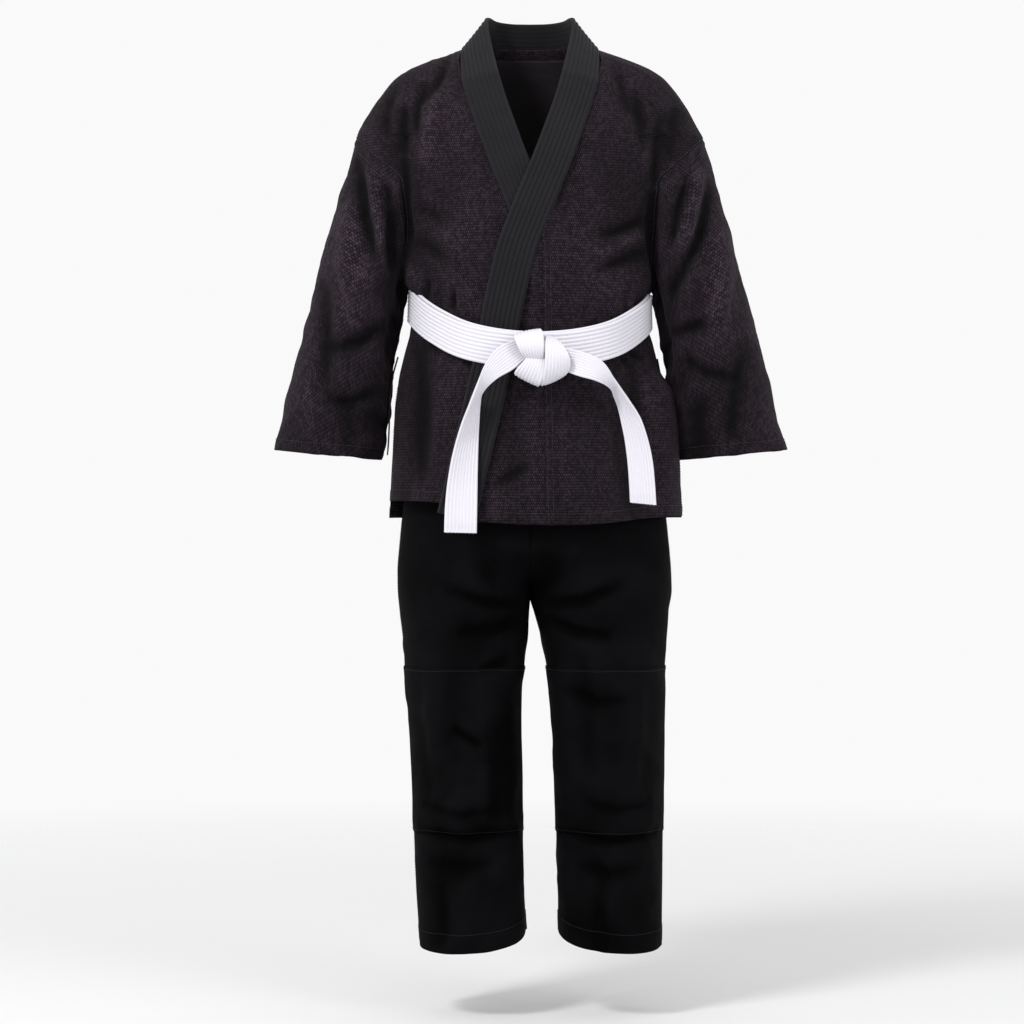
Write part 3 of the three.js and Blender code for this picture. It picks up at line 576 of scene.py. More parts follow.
class Panel:
    """The outer face of a piece of cloth, as a grid of points with cloth coordinates."""

    def __init__(self, points, uv, outward=None, closed=False, painted_light=None):
        self.points, self.uv, self.outward, self.closed = points, uv, outward, closed
        # Painted light and shade at each point, from 0 (darkest) to 1 (lightest).
        self.painted_light = painted_light

    def normals(self):
        return cloth_normals(self.points, self.outward, self.closed)

    def push(self, amount):
        self.points = self.points + self.normals() * amount[..., None]
        return self

    def opened(self):
        """The same closed cloth with its first column again at the end, to sew across."""
        return Panel(joined(self.points), joined(self.uv), joined(self.outward))

    def at(self, row, col, lift=0.0):
        """Points at shares of the way down (row) and across (col), each from 0 to 1."""
        rows, cols = self.points.shape[:2]
        row, col = np.broadcast_arrays(np.asarray(row, float), np.asarray(col, float))
        r = np.clip(row * (rows - 1), 0, rows - 1.001)
        c = np.clip(col * (cols - 1), 0, cols - 1.001)
        i, j = r.astype(int), c.astype(int)
        u, v = (r - i)[:, None], (c - j)[:, None]
        face = self.points + self.normals() * lift
        return ((face[i, j] * (1 - u) + face[i + 1, j] * u) * (1 - v)
                + (face[i, j + 1] * (1 - u) + face[i + 1, j + 1] * u) * v)

    def level(self, gap, lift=0.0, first=0.0, last=1.0, count=200):
        """A line across the cloth, gap metres above its low edge."""
        rows, cols = self.points.shape[:2]
        col = np.linspace(first, last, count)
        row = []
        for c in col:
            run = self.uv[:, int(round(c * (cols - 1))), 1]
            row.append(np.interp(run[-1] - gap, run, np.arange(rows)) / (rows - 1))
        return self.at(np.array(row), col, lift)

    def beside(self, col_edge, gap, lift=0.0, first=0.0, last=1.0, count=200):
        """A line down the cloth, gap metres in from its first (0) or last (1) column."""
        rows, cols = self.points.shape[:2]
        steps = np.linalg.norm(np.diff(self.points, axis=1), axis=2)
        run = np.concatenate([np.zeros((rows, 1)), np.cumsum(steps, axis=1)], axis=1)
        if col_edge:
            run = run[:, -1:] - run
        share = np.array([np.interp(gap, *(run[i], np.arange(cols))) if not col_edge else
                          np.interp(gap, run[i, ::-1], np.arange(cols)[::-1])
                          for i in range(rows)]) / (cols - 1)
        row = np.linspace(first, last, count)
        return self.at(row, np.interp(row, np.linspace(0, 1, rows), share), lift)

    def share_down(self, col, depth):
        """The share of the way down a column at which it passes a depth under the neck."""
        return float(np.interp(depth, -self.points[:, col, 2],
                               np.linspace(0, 1, len(self.points))))

    def shell(self, name, thickness, material):
        return cloth_shell(name, self.points, thickness, self.uv, material, self.closed,
                           self.outward, self.painted_light)


def edge_roll(distance, width, height):
    """A folded hem: the cloth stands a little proud up to `width` from its edge."""
    return height * between(distance, width + 0.0012, width - 0.0008)


def body_panel(turns_from, turns_to, z, lift, cols, hem=None):
    """A jacket panel between two edges, each a turn for every height in z."""
    share = np.linspace(0, 1, cols)
    turn = lerp(turns_from[:, None], turns_to[:, None], share[None])
    height = np.repeat(z[:, None], cols, axis=1)
    if hem is not None:
        x = half_width(height) * np.cos(turn)
        height = height + hem(x) * between(height, -0.42, z[-1])
    relief = jacket_relief(turn, height)
    points = form(turn, height, lift(half_width(height) * np.cos(turn), height) + relief)
    middle = np.zeros_like(points)
    middle[..., 2] = height
    outward = points - middle
    outward[..., 2] = 0.3 * between(height, -0.10, 0.0)
    # Painted shade: folds darker and ridges lighter, painted shadow at the sides by the arms, and
    # the skirt a little darker below the belt.
    painted_light = clamp01(painted_light_of(relief) - 0.24 * between(np.abs(np.cos(turn)), 0.66, 0.97)
                   - 0.10 * between(height, -0.36, -0.42))
    return Panel(points, body_uv(turn, height), outward, painted_light=painted_light)


def side_turn(z, gap=0.0):
    """Where a left panel stops at the side: the armhole above, the side seam below, and the
    slit lowest of all."""
    x = np.where(z > ARMPIT_Z, np.minimum(armhole_x(z), half_width(z) * 0.99995), half_width(z))
    turn = np.arccos(np.clip(x / half_width(z), -1, 1))
    slit = gap + 0.0035 * between(z, -0.395, -0.545)
    low = slit / depth_at(turn, z)
    return np.where(z > ARMPIT_Z, np.maximum(turn, low), low)


PANEL_TOP = 0.018
OVERLAP_TOP = -0.200


def seam_x(z):
    return np.interp(-z, [0.21, 0.55], [0.013, 0.018])


def front_edge(z):
    """How far across a front reaches: tucked under its lapel, then to the overlap's seam."""
    tucked = lapel_outer_x(z) - 0.007 * between(z, -0.02, -0.05)
    return np.where(z > -0.212, tucked, np.maximum(seam_x(z), tucked))


def front_left():
    z = rows_down(PANEL_TOP, HEM_Z, 0.0035)
    hem = lambda x: 0.010 * between(np.abs(x - 0.02), 0.03, 0.15) - 0.002
    return body_panel(side_turn(z), turn_of(front_edge(z), z), z, left_lift,
                      int(90 * DENSITY), hem)


def overlap_left():
    z = rows_down(OVERLAP_TOP, HEM_Z + 0.0005, 0.0045)
    right = seam_x(z) + 0.007
    left = np.minimum(lapel_outer_x(z) - 0.007, right - 0.002)
    lift = lambda x, z: left_lift(x, z) - 0.0016
    hem = lambda x: -0.002 + 0.003 * between(x, 0.0, -0.06)
    return body_panel(turn_of(right, z), turn_of(left, z), z, lift, int(34 * DENSITY), hem)


def front_right():
    z = rows_down(PANEL_TOP, UNDER_HEM_Z, 0.0035)
    hem = lambda x: 0.008 * between(-x, 0.03, 0.15)
    return body_panel(turn_of(-front_edge(z), z), math.pi - side_turn(z), z,
                      lambda x, z: 0 * x, int(90 * DENSITY), hem)


def overlap_right():
    z = rows_down(OVERLAP_TOP, UNDER_HEM_Z, 0.006)
    left = -(seam_x(z) + 0.007)
    right = -np.minimum(lapel_outer_x(z) - 0.007, -left - 0.002)
    return body_panel(turn_of(right, z), turn_of(left, z), z, lambda x, z: 0 * x - 0.0012,
                      int(30 * DENSITY))


def back(side):
    """side is 1 for the wearer's left half and -1 for the right."""
    z = rows_down(PANEL_TOP + 0.002, HEM_Z + 0.006, 0.0035)
    outer = -side_turn(z)
    middle = np.full(z.shape, -math.pi / 2 - 0.002)
    if side < 0:
        outer, middle = -math.pi - outer, np.full(z.shape, -math.pi / 2)
    lift = lambda x, z: (-0.0007 * np.exp(-((x / 0.0022) ** 2))
                         + 0.0004 * between(np.abs(x), 0.012, 0.010))
    first, second = (outer, middle) if side > 0 else (middle, outer)
    return body_panel(first, second, z, lift, int(90 * DENSITY))


def yoke():
    """The lining across the shoulders, inside the back."""
    z = rows_down(0.008, -0.110, 0.006)
    turn = np.full(z.shape, 0.9 * np.arcsin(0.55))
    return body_panel(-turn, turn - math.pi, z,
                      lambda x, z: 0 * x - CLOTH - 0.0008, int(60 * DENSITY))


# ---- Sleeves ------------------------------------------------------------------------------

CUFF_MIDDLE = (0.237, 0.0)
CUFF_HALF = (0.064, 0.046)
SLEEVE_LENGTH = 0.375
SLEEVE_FOLDS = {
    1: [([(0.2117, -0.145), (0.1964, -0.214), (0.160, -0.2834)], 0.0080, -0.0042),
        ([(0.1635, -0.326), (0.190, -0.318), (0.215, -0.316)], 0.0070, -0.0032),
        ([(0.198, -0.130), (0.186, -0.190), (0.168, -0.240)], 0.0080, 0.0030),
        ([(0.186, -0.140), (0.172, -0.185), (0.160, -0.225)], 0.0065, -0.0032),
        ([(0.225, -0.200), (0.222, -0.270), (0.214, -0.330)], 0.0110, 0.0030),
        ([(0.176, -0.350), (0.205, -0.372), (0.245, -0.378)], 0.0080, -0.0028),
        ([(0.250, -0.330), (0.238, -0.392), (0.232, -0.450)], 0.0100, -0.0024),
        ([(0.200, -0.390), (0.196, -0.430), (0.198, -0.465)], 0.0110, -0.0022)],
    -1: [([(0.202, -0.109), (0.193, -0.185), (0.175, -0.245)], 0.0080, -0.0040),
         ([(0.169, -0.139), (0.1576, -0.200), (0.160, -0.253)], 0.0065, -0.0034),
         ([(0.186, -0.130), (0.176, -0.200), (0.168, -0.262)], 0.0075, 0.0030),
         ([(0.214, -0.170), (0.210, -0.250), (0.200, -0.320)], 0.0110, 0.0030),
         ([(0.165, -0.310), (0.195, -0.335), (0.232, -0.345)], 0.0080, -0.0030),
         ([(0.240, -0.260), (0.236, -0.330), (0.240, -0.400)], 0.0100, -0.0026),
         ([(0.178, -0.390), (0.205, -0.405), (0.240, -0.402)], 0.0080, -0.0022),
         ([(0.214, -0.400), (0.210, -0.435), (0.212, -0.465)], 0.0110, -0.0020)],
}


def sleeve(side):
    """The sleeve, as a closed tube from the armhole seam to the cuff."""
    rows, cols = int(110 * DENSITY), int(150 * DENSITY)
    phi = np.linspace(0, 2 * math.pi, cols, endpoint=False)
    down = (1 - np.cos(phi)) / 2
    seam_z = lerp(SHOULDER_Z, ARMPIT_Z - 0.001, down ** 1.05)
    seam = np.minimum(armhole_x(seam_z), half_width(seam_z) * 0.9999)
    facing = np.where(np.sin(phi) >= 0, 1.0, -1.0)
    turn = np.arccos(np.clip(seam / half_width(seam_z), -1, 1)) * facing
    body_turn = turn if side > 0 else math.pi - turn
    start = form(turn, seam_z, jacket_relief(body_turn, seam_z) - 0.0004)
    start[:, 1] = np.where(np.abs(np.sin(phi)) < 1e-6, 0, start[:, 1])
    cuff_z = CUFF_Z + 0.012 * (np.cos(phi) * 0.5 + 0.5) - 0.012
    end = np.stack([CUFF_MIDDLE[0] + CUFF_HALF[0] * np.cos(phi),
                    CUFF_MIDDLE[1] - CUFF_HALF[1] * np.sin(phi) * (1 + 0.10 * np.cos(phi)),
                    cuff_z], axis=1)
    s = np.linspace(0, 1, rows) ** 0.92
    grid = start[None] * (1 - s[:, None, None]) + end[None] * s[:, None, None]
    full = np.sin(np.pi * np.clip(s, 0, 1)) ** 0.75 * (1 - 0.45 * s)
    swell = np.abs(np.sin(phi)) ** 1.3 * np.sign(np.sin(phi))
    grid[..., 1] -= full[:, None] * swell[None] * 0.019
    grid[..., 0] += full[:, None] * np.cos(phi)[None] * 0.003 * (np.cos(phi) > 0)
    x, z = grid[..., 0], grid[..., 2]
    front = between(np.sin(phi), 0.05, 0.45)[None] + 0 * x
    behind = between(-np.sin(phi), 0.05, 0.45)[None] + 0 * x
    along = s[:, None] * 0.37 + 0 * x
    relief = front * folds(x, z, SLEEVE_FOLDS[side])
    fade = between(s, 0.0, 0.10)[:, None]
    seed = 70 if side > 0 else 80
    cu, cv = np.cos(phi)[None] * 0.055, np.sin(phi)[None] * 0.055
    wave = (wrinkles(seed, cu + 0.6 * along, cv + along * 0.5, 0.040, 0.060)
            + 0.6 * wrinkles(seed + 5, cu - 0.3 * along, cv + along, 0.025, 0.040))
    relief += 0.0030 * wave * (0.6 + 0.6 * behind)
    relief += 0.0004 * wrinkles(seed + 9, cu * 3, cv * 3 + along, 0.012, 0.015, 2)
    under = between(-np.cos(phi), 0.3, 0.9)[None]
    sway = 2 * Noise(seed + 3)(along / 0.03, along * 0)
    relief -= 0.0018 * under * (0.5 + 0.5 * np.sin(along / 0.011 + sway))
    distance = (1 - s[:, None]) * SLEEVE_LENGTH
    middle = (start.mean(axis=0) * (1 - s[:, None]) + end.mean(axis=0) * s[:, None])[:, None]
    outward = grid - middle
    run = np.concatenate([np.zeros((1, cols)), np.cumsum(
        np.linalg.norm(np.diff(grid, axis=0), axis=2), axis=0)])
    girth = np.linspace(0, 0.36, cols)[None] + 0 * x
    uv = np.stack([girth, run], axis=-1)
    # Painted shade: folds darker and ridges lighter, and the sleeve's inner side, towards the body,
    # darker.
    painted_shade_inside = between(-np.cos(phi), 0.1, 0.8)[None]
    panel = Panel(grid, uv, outward, True, clamp01(painted_light_of(relief * fade) - 0.30 * painted_shade_inside))
    panel.push(relief * fade + edge_roll(distance, 0.013, FOLD_RISE)
               + 0.0014 * np.exp(-(((s[:, None] * 0.37 - 0.004) / 0.003) ** 2)))
    if side < 0:
        panel.points[..., 0] *= -1
        panel.outward[..., 0] *= -1
    return panel


# ---- Trousers -----------------------------------------------------------------------------

trouser_half_width = profile([
    [WAISTBAND_TOP, 0.122], [WAISTBAND_LOW, 0.125], [-0.430, 0.138], [-0.500, 0.150],
    [-0.545, 0.1560], [-0.600, 0.1605], [-0.660, 0.161],
], 0.010)
trouser_front_depth = profile([
    [WAISTBAND_TOP, 0.087], [WAISTBAND_LOW, 0.089], [-0.480, 0.098], [-0.560, 0.101],
    [-0.660, 0.101],
], 0.010)
trouser_back_depth = profile([
    [WAISTBAND_TOP, 0.087], [WAISTBAND_LOW, 0.089], [-0.480, 0.102], [-0.560, 0.106],
    [-0.660, 0.102],
], 0.010)
LEG_SHAPES = {  # middle and half-width of the left leg, then of the right
    1: (profile([[-0.560, 0.0825], [-0.645, 0.083], [-0.674, 0.087], [-0.703, 0.088],
                 [-0.732, 0.0897], [-0.790, 0.0926], [-0.880, 0.0933], [-1.060, 0.0945]], 0.010),
        profile([[-0.560, 0.0825], [-0.645, 0.080], [-0.674, 0.0741], [-0.703, 0.0702],
                 [-0.732, 0.0669], [-0.790, 0.0650], [-0.880, 0.0630], [-1.060, 0.0600]], 0.010)),
    -1: (profile([[-0.560, 0.0775], [-0.645, 0.077], [-0.674, 0.076], [-0.732, 0.0768],
                  [-0.790, 0.0756], [-0.850, 0.0734], [-0.967, 0.0707], [-1.060, 0.0660]], 0.010),
         profile([[-0.560, 0.0775], [-0.645, 0.0765], [-0.674, 0.0736], [-0.732, 0.0664],
                  [-0.790, 0.0650], [-0.850, 0.0644], [-0.967, 0.0632], [-1.060, 0.0610]], 0.010)),
}
leg_depth = profile([[-0.560, 0.098], [-0.650, 0.095], [-0.753, 0.085], [-0.894, 0.073],
                     [-1.017, 0.066], [-1.060, 0.065]], 0.02)
LEG_FOLDS = {
    -1: [([(-0.0906, -0.780), (-0.0553, -0.803)], 0.0060, -0.0030),
         ([(-0.0588, -0.716), (-0.021, -0.6997)], 0.0070, -0.0030),
         ([(-0.008, -0.655), (-0.040, -0.668), (-0.085, -0.672)], 0.0075, -0.0034),
         ([(-0.008, -0.640), (-0.050, -0.636), (-0.100, -0.618)], 0.0075, -0.0030),
         ([(-0.130, -0.900), (-0.075, -0.908), (-0.015, -0.902)], 0.0060, -0.0036),
         ([(-0.125, -0.870), (-0.080, -0.882), (-0.030, -0.872)], 0.0070, -0.0022),
         ([(-0.118, -0.935), (-0.080, -0.945), (-0.040, -0.935)], 0.0090, -0.0024),
         ([(-0.110, -0.690), (-0.112, -0.760), (-0.104, -0.850)], 0.0110, 0.0026),
         ([(-0.050, -0.820), (-0.056, -0.860), (-0.052, -0.895)], 0.0090, 0.0024),
         ([(-0.105, -0.960), (-0.100, -1.000), (-0.104, -1.040)], 0.0090, -0.0024)],
    1: [([(0.014, -0.655), (0.050, -0.670), (0.095, -0.676)], 0.0075, -0.0034),
        ([(0.012, -0.640), (0.060, -0.634), (0.110, -0.612)], 0.0075, -0.0030),
        ([(0.040, -0.735), (0.075, -0.752), (0.115, -0.748)], 0.0080, -0.0024),
        ([(0.035, -0.902), (0.090, -0.912), (0.150, -0.903)], 0.0060, -0.0036),
        ([(0.060, -0.865), (0.100, -0.876), (0.140, -0.868)], 0.0070, -0.0022),
        ([(0.050, -0.940), (0.090, -0.950), (0.130, -0.942)], 0.0090, -0.0024),
        ([(0.118, -0.700), (0.122, -0.780), (0.112, -0.860)], 0.0110, 0.0026),
        ([(0.060, -0.690), (0.064, -0.760), (0.070, -0.840)], 0.0120, -0.0022),
        ([(0.082, -0.955), (0.080, -1.000), (0.084, -1.040)], 0.0090, -0.0024)],
}


def trouser_panel(side, face):
    """side is 1 for the left leg; face is 1 for its front and -1 for its back."""
    top, low = WAISTBAND_LOW + 0.004, LEG_HEM_Z
    rows, cols = int(210 * DENSITY), int(84 * DENSITY)
    z = np.linspace(top, low, rows)[:, None] + np.zeros((1, cols))
    u = np.linspace(0, 1, cols)[None] + np.zeros((rows, 1))
    turn = u * math.pi / 2
    depth = trouser_front_depth(z) if face > 0 else trouser_back_depth(z)
    hip = np.stack([(0.005 * np.cos(turn) ** 2 + trouser_half_width(z) * np.cos(turn) * side),
                    -face * depth * np.sin(turn), z], axis=-1)
    middle, half = LEG_SHAPES[side]
    half_z = lerp(middle(z) + 0.0008, half(z), between(z, -0.622, -0.648))
    round_ = u * math.pi
    deep = leg_depth(z) * (1.0 if face > 0 else 0.97)
    leg = np.stack([side * (middle(z) + half_z * np.cos(round_)),
                    -face * deep * np.sin(round_) ** 0.92, z], axis=-1)
    share = between(z, -0.572, -0.630)
    grid = lerp(hip, leg, share[..., None])
    grid[..., 2] -= 0.004 * u ** 6 * np.exp(-(((z + 0.620) / 0.030) ** 2))
    slant = between(z, -0.90, low)
    grid[..., 2] += (0.10 * grid[..., 1] + 0.015 * u ** 2 - 0.003) * slant
    x, zz = grid[..., 0], grid[..., 2]
    relief = np.zeros_like(x)
    if face > 0:
        relief += folds(x, zz, LEG_FOLDS[side])
    seed = 100 + 10 * side + face
    on_leg = between(z, -0.60, -0.70)
    relief += 0.0042 * wrinkles(seed, x + 0.3 * zz * side, zz, 0.060, 0.095) * on_leg
    relief += (0.0016 * wrinkles(seed + 4, x, zz, 0.028, 0.034, 2) * on_leg
               * between(np.abs(zz + 0.90), 0.12, 0.02))
    relief += (0.0020 * wrinkles(seed + 6, x, zz, 0.050, 0.060)
               * between(z, -0.54, -0.60) * (1 - on_leg))
    gathers = between(z, -0.47, top)
    relief += 0.0016 * np.sin(turn * 2 * 13 + 2.2 * Noise(seed)(turn * 4, z * 6)) * gathers
    relief += 0.0004 * wrinkles(seed + 8, x, zz, 0.011, 0.013, 2)
    near_seam = np.minimum(u, 1 - u)
    relief *= between(near_seam, 0.0, 0.10)
    open_seam = np.where(u > 0.5, 1 - between(z, -0.560, -0.590), 1.0)
    relief -= 0.0009 * np.exp(-((near_seam / 0.010) ** 2)) * open_seam
    centre = np.where(share[..., None] > 0.5, np.stack([side * middle(z), 0 * z, z], -1),
                      np.stack([0 * z, 0 * z, z], -1))
    outward = grid - centre
    outward[..., 2] = 0
    steps = np.linalg.norm(np.diff(grid, axis=1), axis=2)
    across = np.concatenate([np.zeros((rows, 1)), np.cumsum(steps, axis=1)], axis=1)
    down = np.concatenate([np.zeros((1, cols)), np.cumsum(
        np.linalg.norm(np.diff(grid, axis=0), axis=2), axis=0)])
    # Painted shade on the trousers: folds darker and ridges lighter.
    panel = Panel(grid, np.stack([across, down], -1), outward, painted_light=painted_light_of(relief))
    distance = down[-1:] - down
    return panel.push(relief + edge_roll(distance, LEG_HEM_FOLD, FOLD_RISE))


def knee_patch(panel):
    """A second layer of cloth over the knee, sewn to the front of the leg."""
    cols = panel.points.shape[1]
    z = panel.points[:, cols // 2, 2]
    low, top = (int(np.argmin(np.abs(z - end.z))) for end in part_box("knee_patch_left"))
    first, last = int(0.02 * cols), int(0.98 * cols)
    piece = (slice(top, low + 1), slice(first, last))
    part = Panel(panel.points[piece].copy(), panel.uv[piece], panel.outward[piece],
                 painted_light=panel.painted_light[piece])
    return part.push(np.full(part.points.shape[:2], 0.0013))


def ring(z_top, z_low, half_x, half_front, half_back, ripple, waves, rows, seed):
    """A gathered ring of cloth, such as the waistband."""
    cols = int(360 * DENSITY)
    t = np.linspace(0, 2 * math.pi, cols, endpoint=False)
    z = np.linspace(z_top, z_low, rows)
    push = ripple * np.sin(waves * t + 1.5 * Noise(seed)(3 + 2 * np.cos(t), 3 + 2 * np.sin(t)))
    depth = np.where(np.sin(t) >= 0, half_front, half_back)
    swell = 1 + 0.012 * np.sin(np.linspace(0, math.pi, rows))
    x = (half_x * swell[:, None] + push[None]) * np.cos(t)[None]
    y = -(depth[None] * swell[:, None] + push[None]) * np.sin(t)[None]
    grid = np.stack([x, y, z[:, None] + 0 * x], axis=-1)
    outward = grid.copy()
    outward[..., 2] = 0
    run = np.linspace(0, 0.68, cols)[None] + 0 * x
    uv = np.stack([run, (z_top - z)[:, None] + 0 * x], -1)
    return Panel(grid, uv, outward, closed=True)


# ---- Collar and lapels --------------------------------------------------------------------


def lapel_stations(lifted):
    """Matched points on the band's two edges, from the back of the neck to the jacket's hem."""
    stations = [np.array(s) for s in COLLAR_STATIONS]
    lift = lapel_lift if lifted else (lambda z: 0.0006 + 0 * z)
    low = (HEM_Z - 0.003) if lifted else UNDER_HEM_Z
    for k in range(4, 160, 3):
        (xi, zi), (xo, zo) = inner_line[k], outer_line[k]
        if zi < low:
            break
        zo = max(zo, low - 0.004)
        if zi > -0.022:
            continue
        rise = float(lift(np.array(zi)))
        side = 1 if lifted else -1
        turns = turn_of(side * np.array([xi, xo]), np.array([zi, zo]))
        under = jacket_relief(turns, np.array([zi, zo]))
        inner = on_front(np.array(xi), np.array(zi), rise + 0.0006 + under[0])
        outer = on_front(np.array(xo), np.array(zo), rise - 0.0006 + under[1])
        stations.append(np.concatenate([inner, outer]))
    return np.array(stations)


def lapel_band(name, stations, first, last, count, material):
    curve = spline(stations, int(600 * DENSITY))
    rows = curve[int(first * (len(curve) - 1)):int(last * (len(curve) - 1)) + 1]
    rows = rows[::max(1, int(len(rows) / (count * DENSITY)))]
    inner, outer = rows[:, :3], rows[:, 3:]
    made = band(name, inner, outer, lapel_outward(inner, outer), BAND, BAND_ROWS, material,
                groove=0.0006, puff=0.0006)
    return made, inner, outer


def lapel_outward(inner, outer):
    middle = (inner + outer) / 2
    out = np.stack([0.6 * middle[:, 0], middle[:, 1] - 0.012, 0 * middle[:, 2]], axis=1)
    return out / np.linalg.norm(out, axis=1, keepdims=True)


def band_rows(inner, outer, out, thickness, rows, lift):
    """The stitch lines along a quilted band."""
    across = outer - inner
    n = band_normals(np.gradient((inner + outer) / 2, axis=0), across, out)
    return [inner + across * (k / (rows + 1)) + n * (thickness + lift)
            for k in range(1, rows + 1)]


# ---- Belt ---------------------------------------------------------------------------------


def belt_lift(turn):
    x = half_width(belt_height(turn)) * np.cos(turn)
    front = between(np.sin(turn), 0.0, 0.4)
    back = between(-np.sin(turn), 0.0, 0.3)
    over_lapels = between(x, -0.105, -0.055) * between(x, 0.125, 0.070)
    return 0.0010 + 0.0014 * back + 0.0098 * front * over_lapels


def belt_round(layer, drop):
    """The two edges of one turn of the belt, all the way round."""
    turn = np.linspace(0, 2 * math.pi, int(420 * DENSITY), endpoint=False)
    middle = belt_height(turn) + drop
    lift = belt_lift(turn) + layer * (BELT + 0.0004)
    lean = 0.0010 * Noise(7 + layer)(turn * 1.3, turn * 0)
    ring_at = form(turn, middle, lift)
    nxt = np.roll(ring_at, -1, axis=0) - np.roll(ring_at, 1, axis=0)
    nxt /= np.linalg.norm(nxt, axis=1, keepdims=True)
    out = ring_at * [1, 1, 0]
    out /= np.linalg.norm(out, axis=1, keepdims=True)
    up = np.cross(nxt, out)
    up /= np.linalg.norm(up, axis=1, keepdims=True)
    up = np.where(up[:, 2:] < 0, -up, up)
    half = BELT_WIDTH / 2
    slope = out * lean[:, None]
    return ring_at + up * half + slope, ring_at - up * half - slope, out


MM = 0.001
RIGHT_TAIL = [  # outer edge, then inner edge: x, y, z of each, from the knot down
    (-14, -124, -336, -3, -128, -357), (-37, -135, -346, -20, -134, -371),
    (-51, -139, -364, -38, -137, -381.5), (-61.5, -141, -388, -55, -128, -396),
    (-71, -139, -412, -58.5, -113, -408), (-80, -136, -435, -59.5, -114, -431),
    (-88.5, -133, -465, -60, -118, -461), (-94, -130, -495, -60.3, -121, -493),
    (-97, -128, -525, -60.5, -124, -524), (-98, -127, -555, -61, -126, -556)]
LEFT_TAIL = [
    (34, -128, -345, 38, -130, -372), (62, -136, -352, 55, -138, -379),
    (81, -138, -362, 73, -139, -384), (95, -136, -380.5, 90, -126, -391),
    (104, -132, -393, 96, -112, -400), (112, -128, -404, 100.5, -109, -412),
    (125, -122, -424, 104.5, -108, -432), (133, -119, -446, 107.5, -108, -448),
    (139, -116, -472, 110.5, -108, -472), (142, -113, -500, 112.5, -107, -498),
    (143.5, -111, -524, 113.5, -107, -521)]
KNOT_OVER = [
    (-18, -126, -334, 13, -126, -327.5), (-18.5, -137, -337, 14.5, -138, -331),
    (-16, -141, -343, 15.5, -143, -339), (-12, -140, -350, 15.5, -143, -349),
    (-6, -134, -356, 15.5, -137, -358), (-1, -124, -359, 15, -126, -362)]
KNOT_ACROSS = [
    (15, -130, -336, 27, -126, -338), (15.5, -141, -341, 36, -136, -346),
    (16, -145, -352, 43, -142, -355), (15.5, -145, -364, 45, -141, -363),
    (13.5, -141, -376, 43, -136, -371), (11, -133, -385, 37, -129, -375),
    (10.5, -123, -386, 33, -121, -376)]
KNOT_UNDER = [
    (-1, -131, -354, 17, -134, -356), (-7, -137, -361, 17, -140, -366),
    (-14, -137, -368, 15.5, -139, -377), (-17.5, -132, -372.5, 12, -134, -386),
    (-16, -123, -373, 11, -124, -387)]
TAIL_BENDS = {  # where each tail would start and stop turning; across_joint does not use them
    "right": ((-0.028, -0.135, -0.352), (-0.058, -0.135, -0.394)),
    "left": ((0.050, -0.135, -0.360), (0.094, -0.128, -0.388))}


def strap(name, stations, count, width, thickness=BELT, crown=0.0, rows=BELT_ROWS, puff=0.0002):
    """A length of belt through stations in millimetres, with its two edges."""
    line = spline(np.array(stations, float) * MM, int(count * DENSITY))
    a, b = line[:, :3], line[:, 3:]
    out = np.zeros_like(a)
    out[:, 1] = -1
    out[:, 0] = 0.25 * np.sign(a[:, 0])
    made = band(name, a, b, out, thickness, rows, BELT_CLOTH, puff=puff, crown=crown, width=width)
    return made, a, b


def tie(side):
    """A short tape inside the side slit, used to close the jacket's under layer."""
    lo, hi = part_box("side_tie_left" if side > 0 else "side_tie_right")
    y = (lo.y + hi.y) / 2
    z = np.linspace(hi.z - 0.001, lo.z + 0.012, 60)
    centre = side * (half_width(z) * np.sqrt(1 - (y / front_depth(z)) ** 2) + 0.0068)
    sway = 0.0012 * np.sin((z - z[0]) / 0.021)
    a = np.stack([centre + sway, np.full(z.shape, y - 0.006), z], axis=1)
    b = np.stack([centre + sway, np.full(z.shape, y + 0.006), z], axis=1)
    point = between(z, z[-1] + 0.012, z[-1])[:, None]
    middle = (a + b) / 2
    return lerp(a, middle, point * 0.6), lerp(b, middle, point * 0.6)


# ---- Shader nodes -------------------------------------------------------------------------


class Value:
    """A shader socket with arithmetic."""

    def __init__(self, shader, socket):
        self.shader, self.socket = shader, socket

    def _math(self, operation, *values):
        return self.shader.node("ShaderNodeMath", dict(operation=operation),
                                {i: v for i, v in enumerate(values)})

    def __add__(self, other): return self._math("ADD", self, other)
    def __radd__(self, other): return self._math("ADD", other, self)
    def __sub__(self, other): return self._math("SUBTRACT", self, other)
    def __rsub__(self, other): return self._math("SUBTRACT", other, self)
    def __mul__(self, other): return self._math("MULTIPLY", self, other)
    def __rmul__(self, other): return self._math("MULTIPLY", other, self)
    def __truediv__(self, other): return self._math("DIVIDE", self, other)
    def __rtruediv__(self, other): return self._math("DIVIDE", other, self)
    def __mod__(self, other): return self._math("FLOORED_MODULO", self, other)
    def floor(self): return self._math("FLOOR", self)
    def size(self): return self._math("ABSOLUTE", self)
    def sine(self): return self._math("SINE", self)
    def root(self): return self._math("SQRT", self)

    def clamped(self, low=0.0, high=1.0):
        return self.shader.node("ShaderNodeClamp", {}, {0: self, 1: low, 2: high})


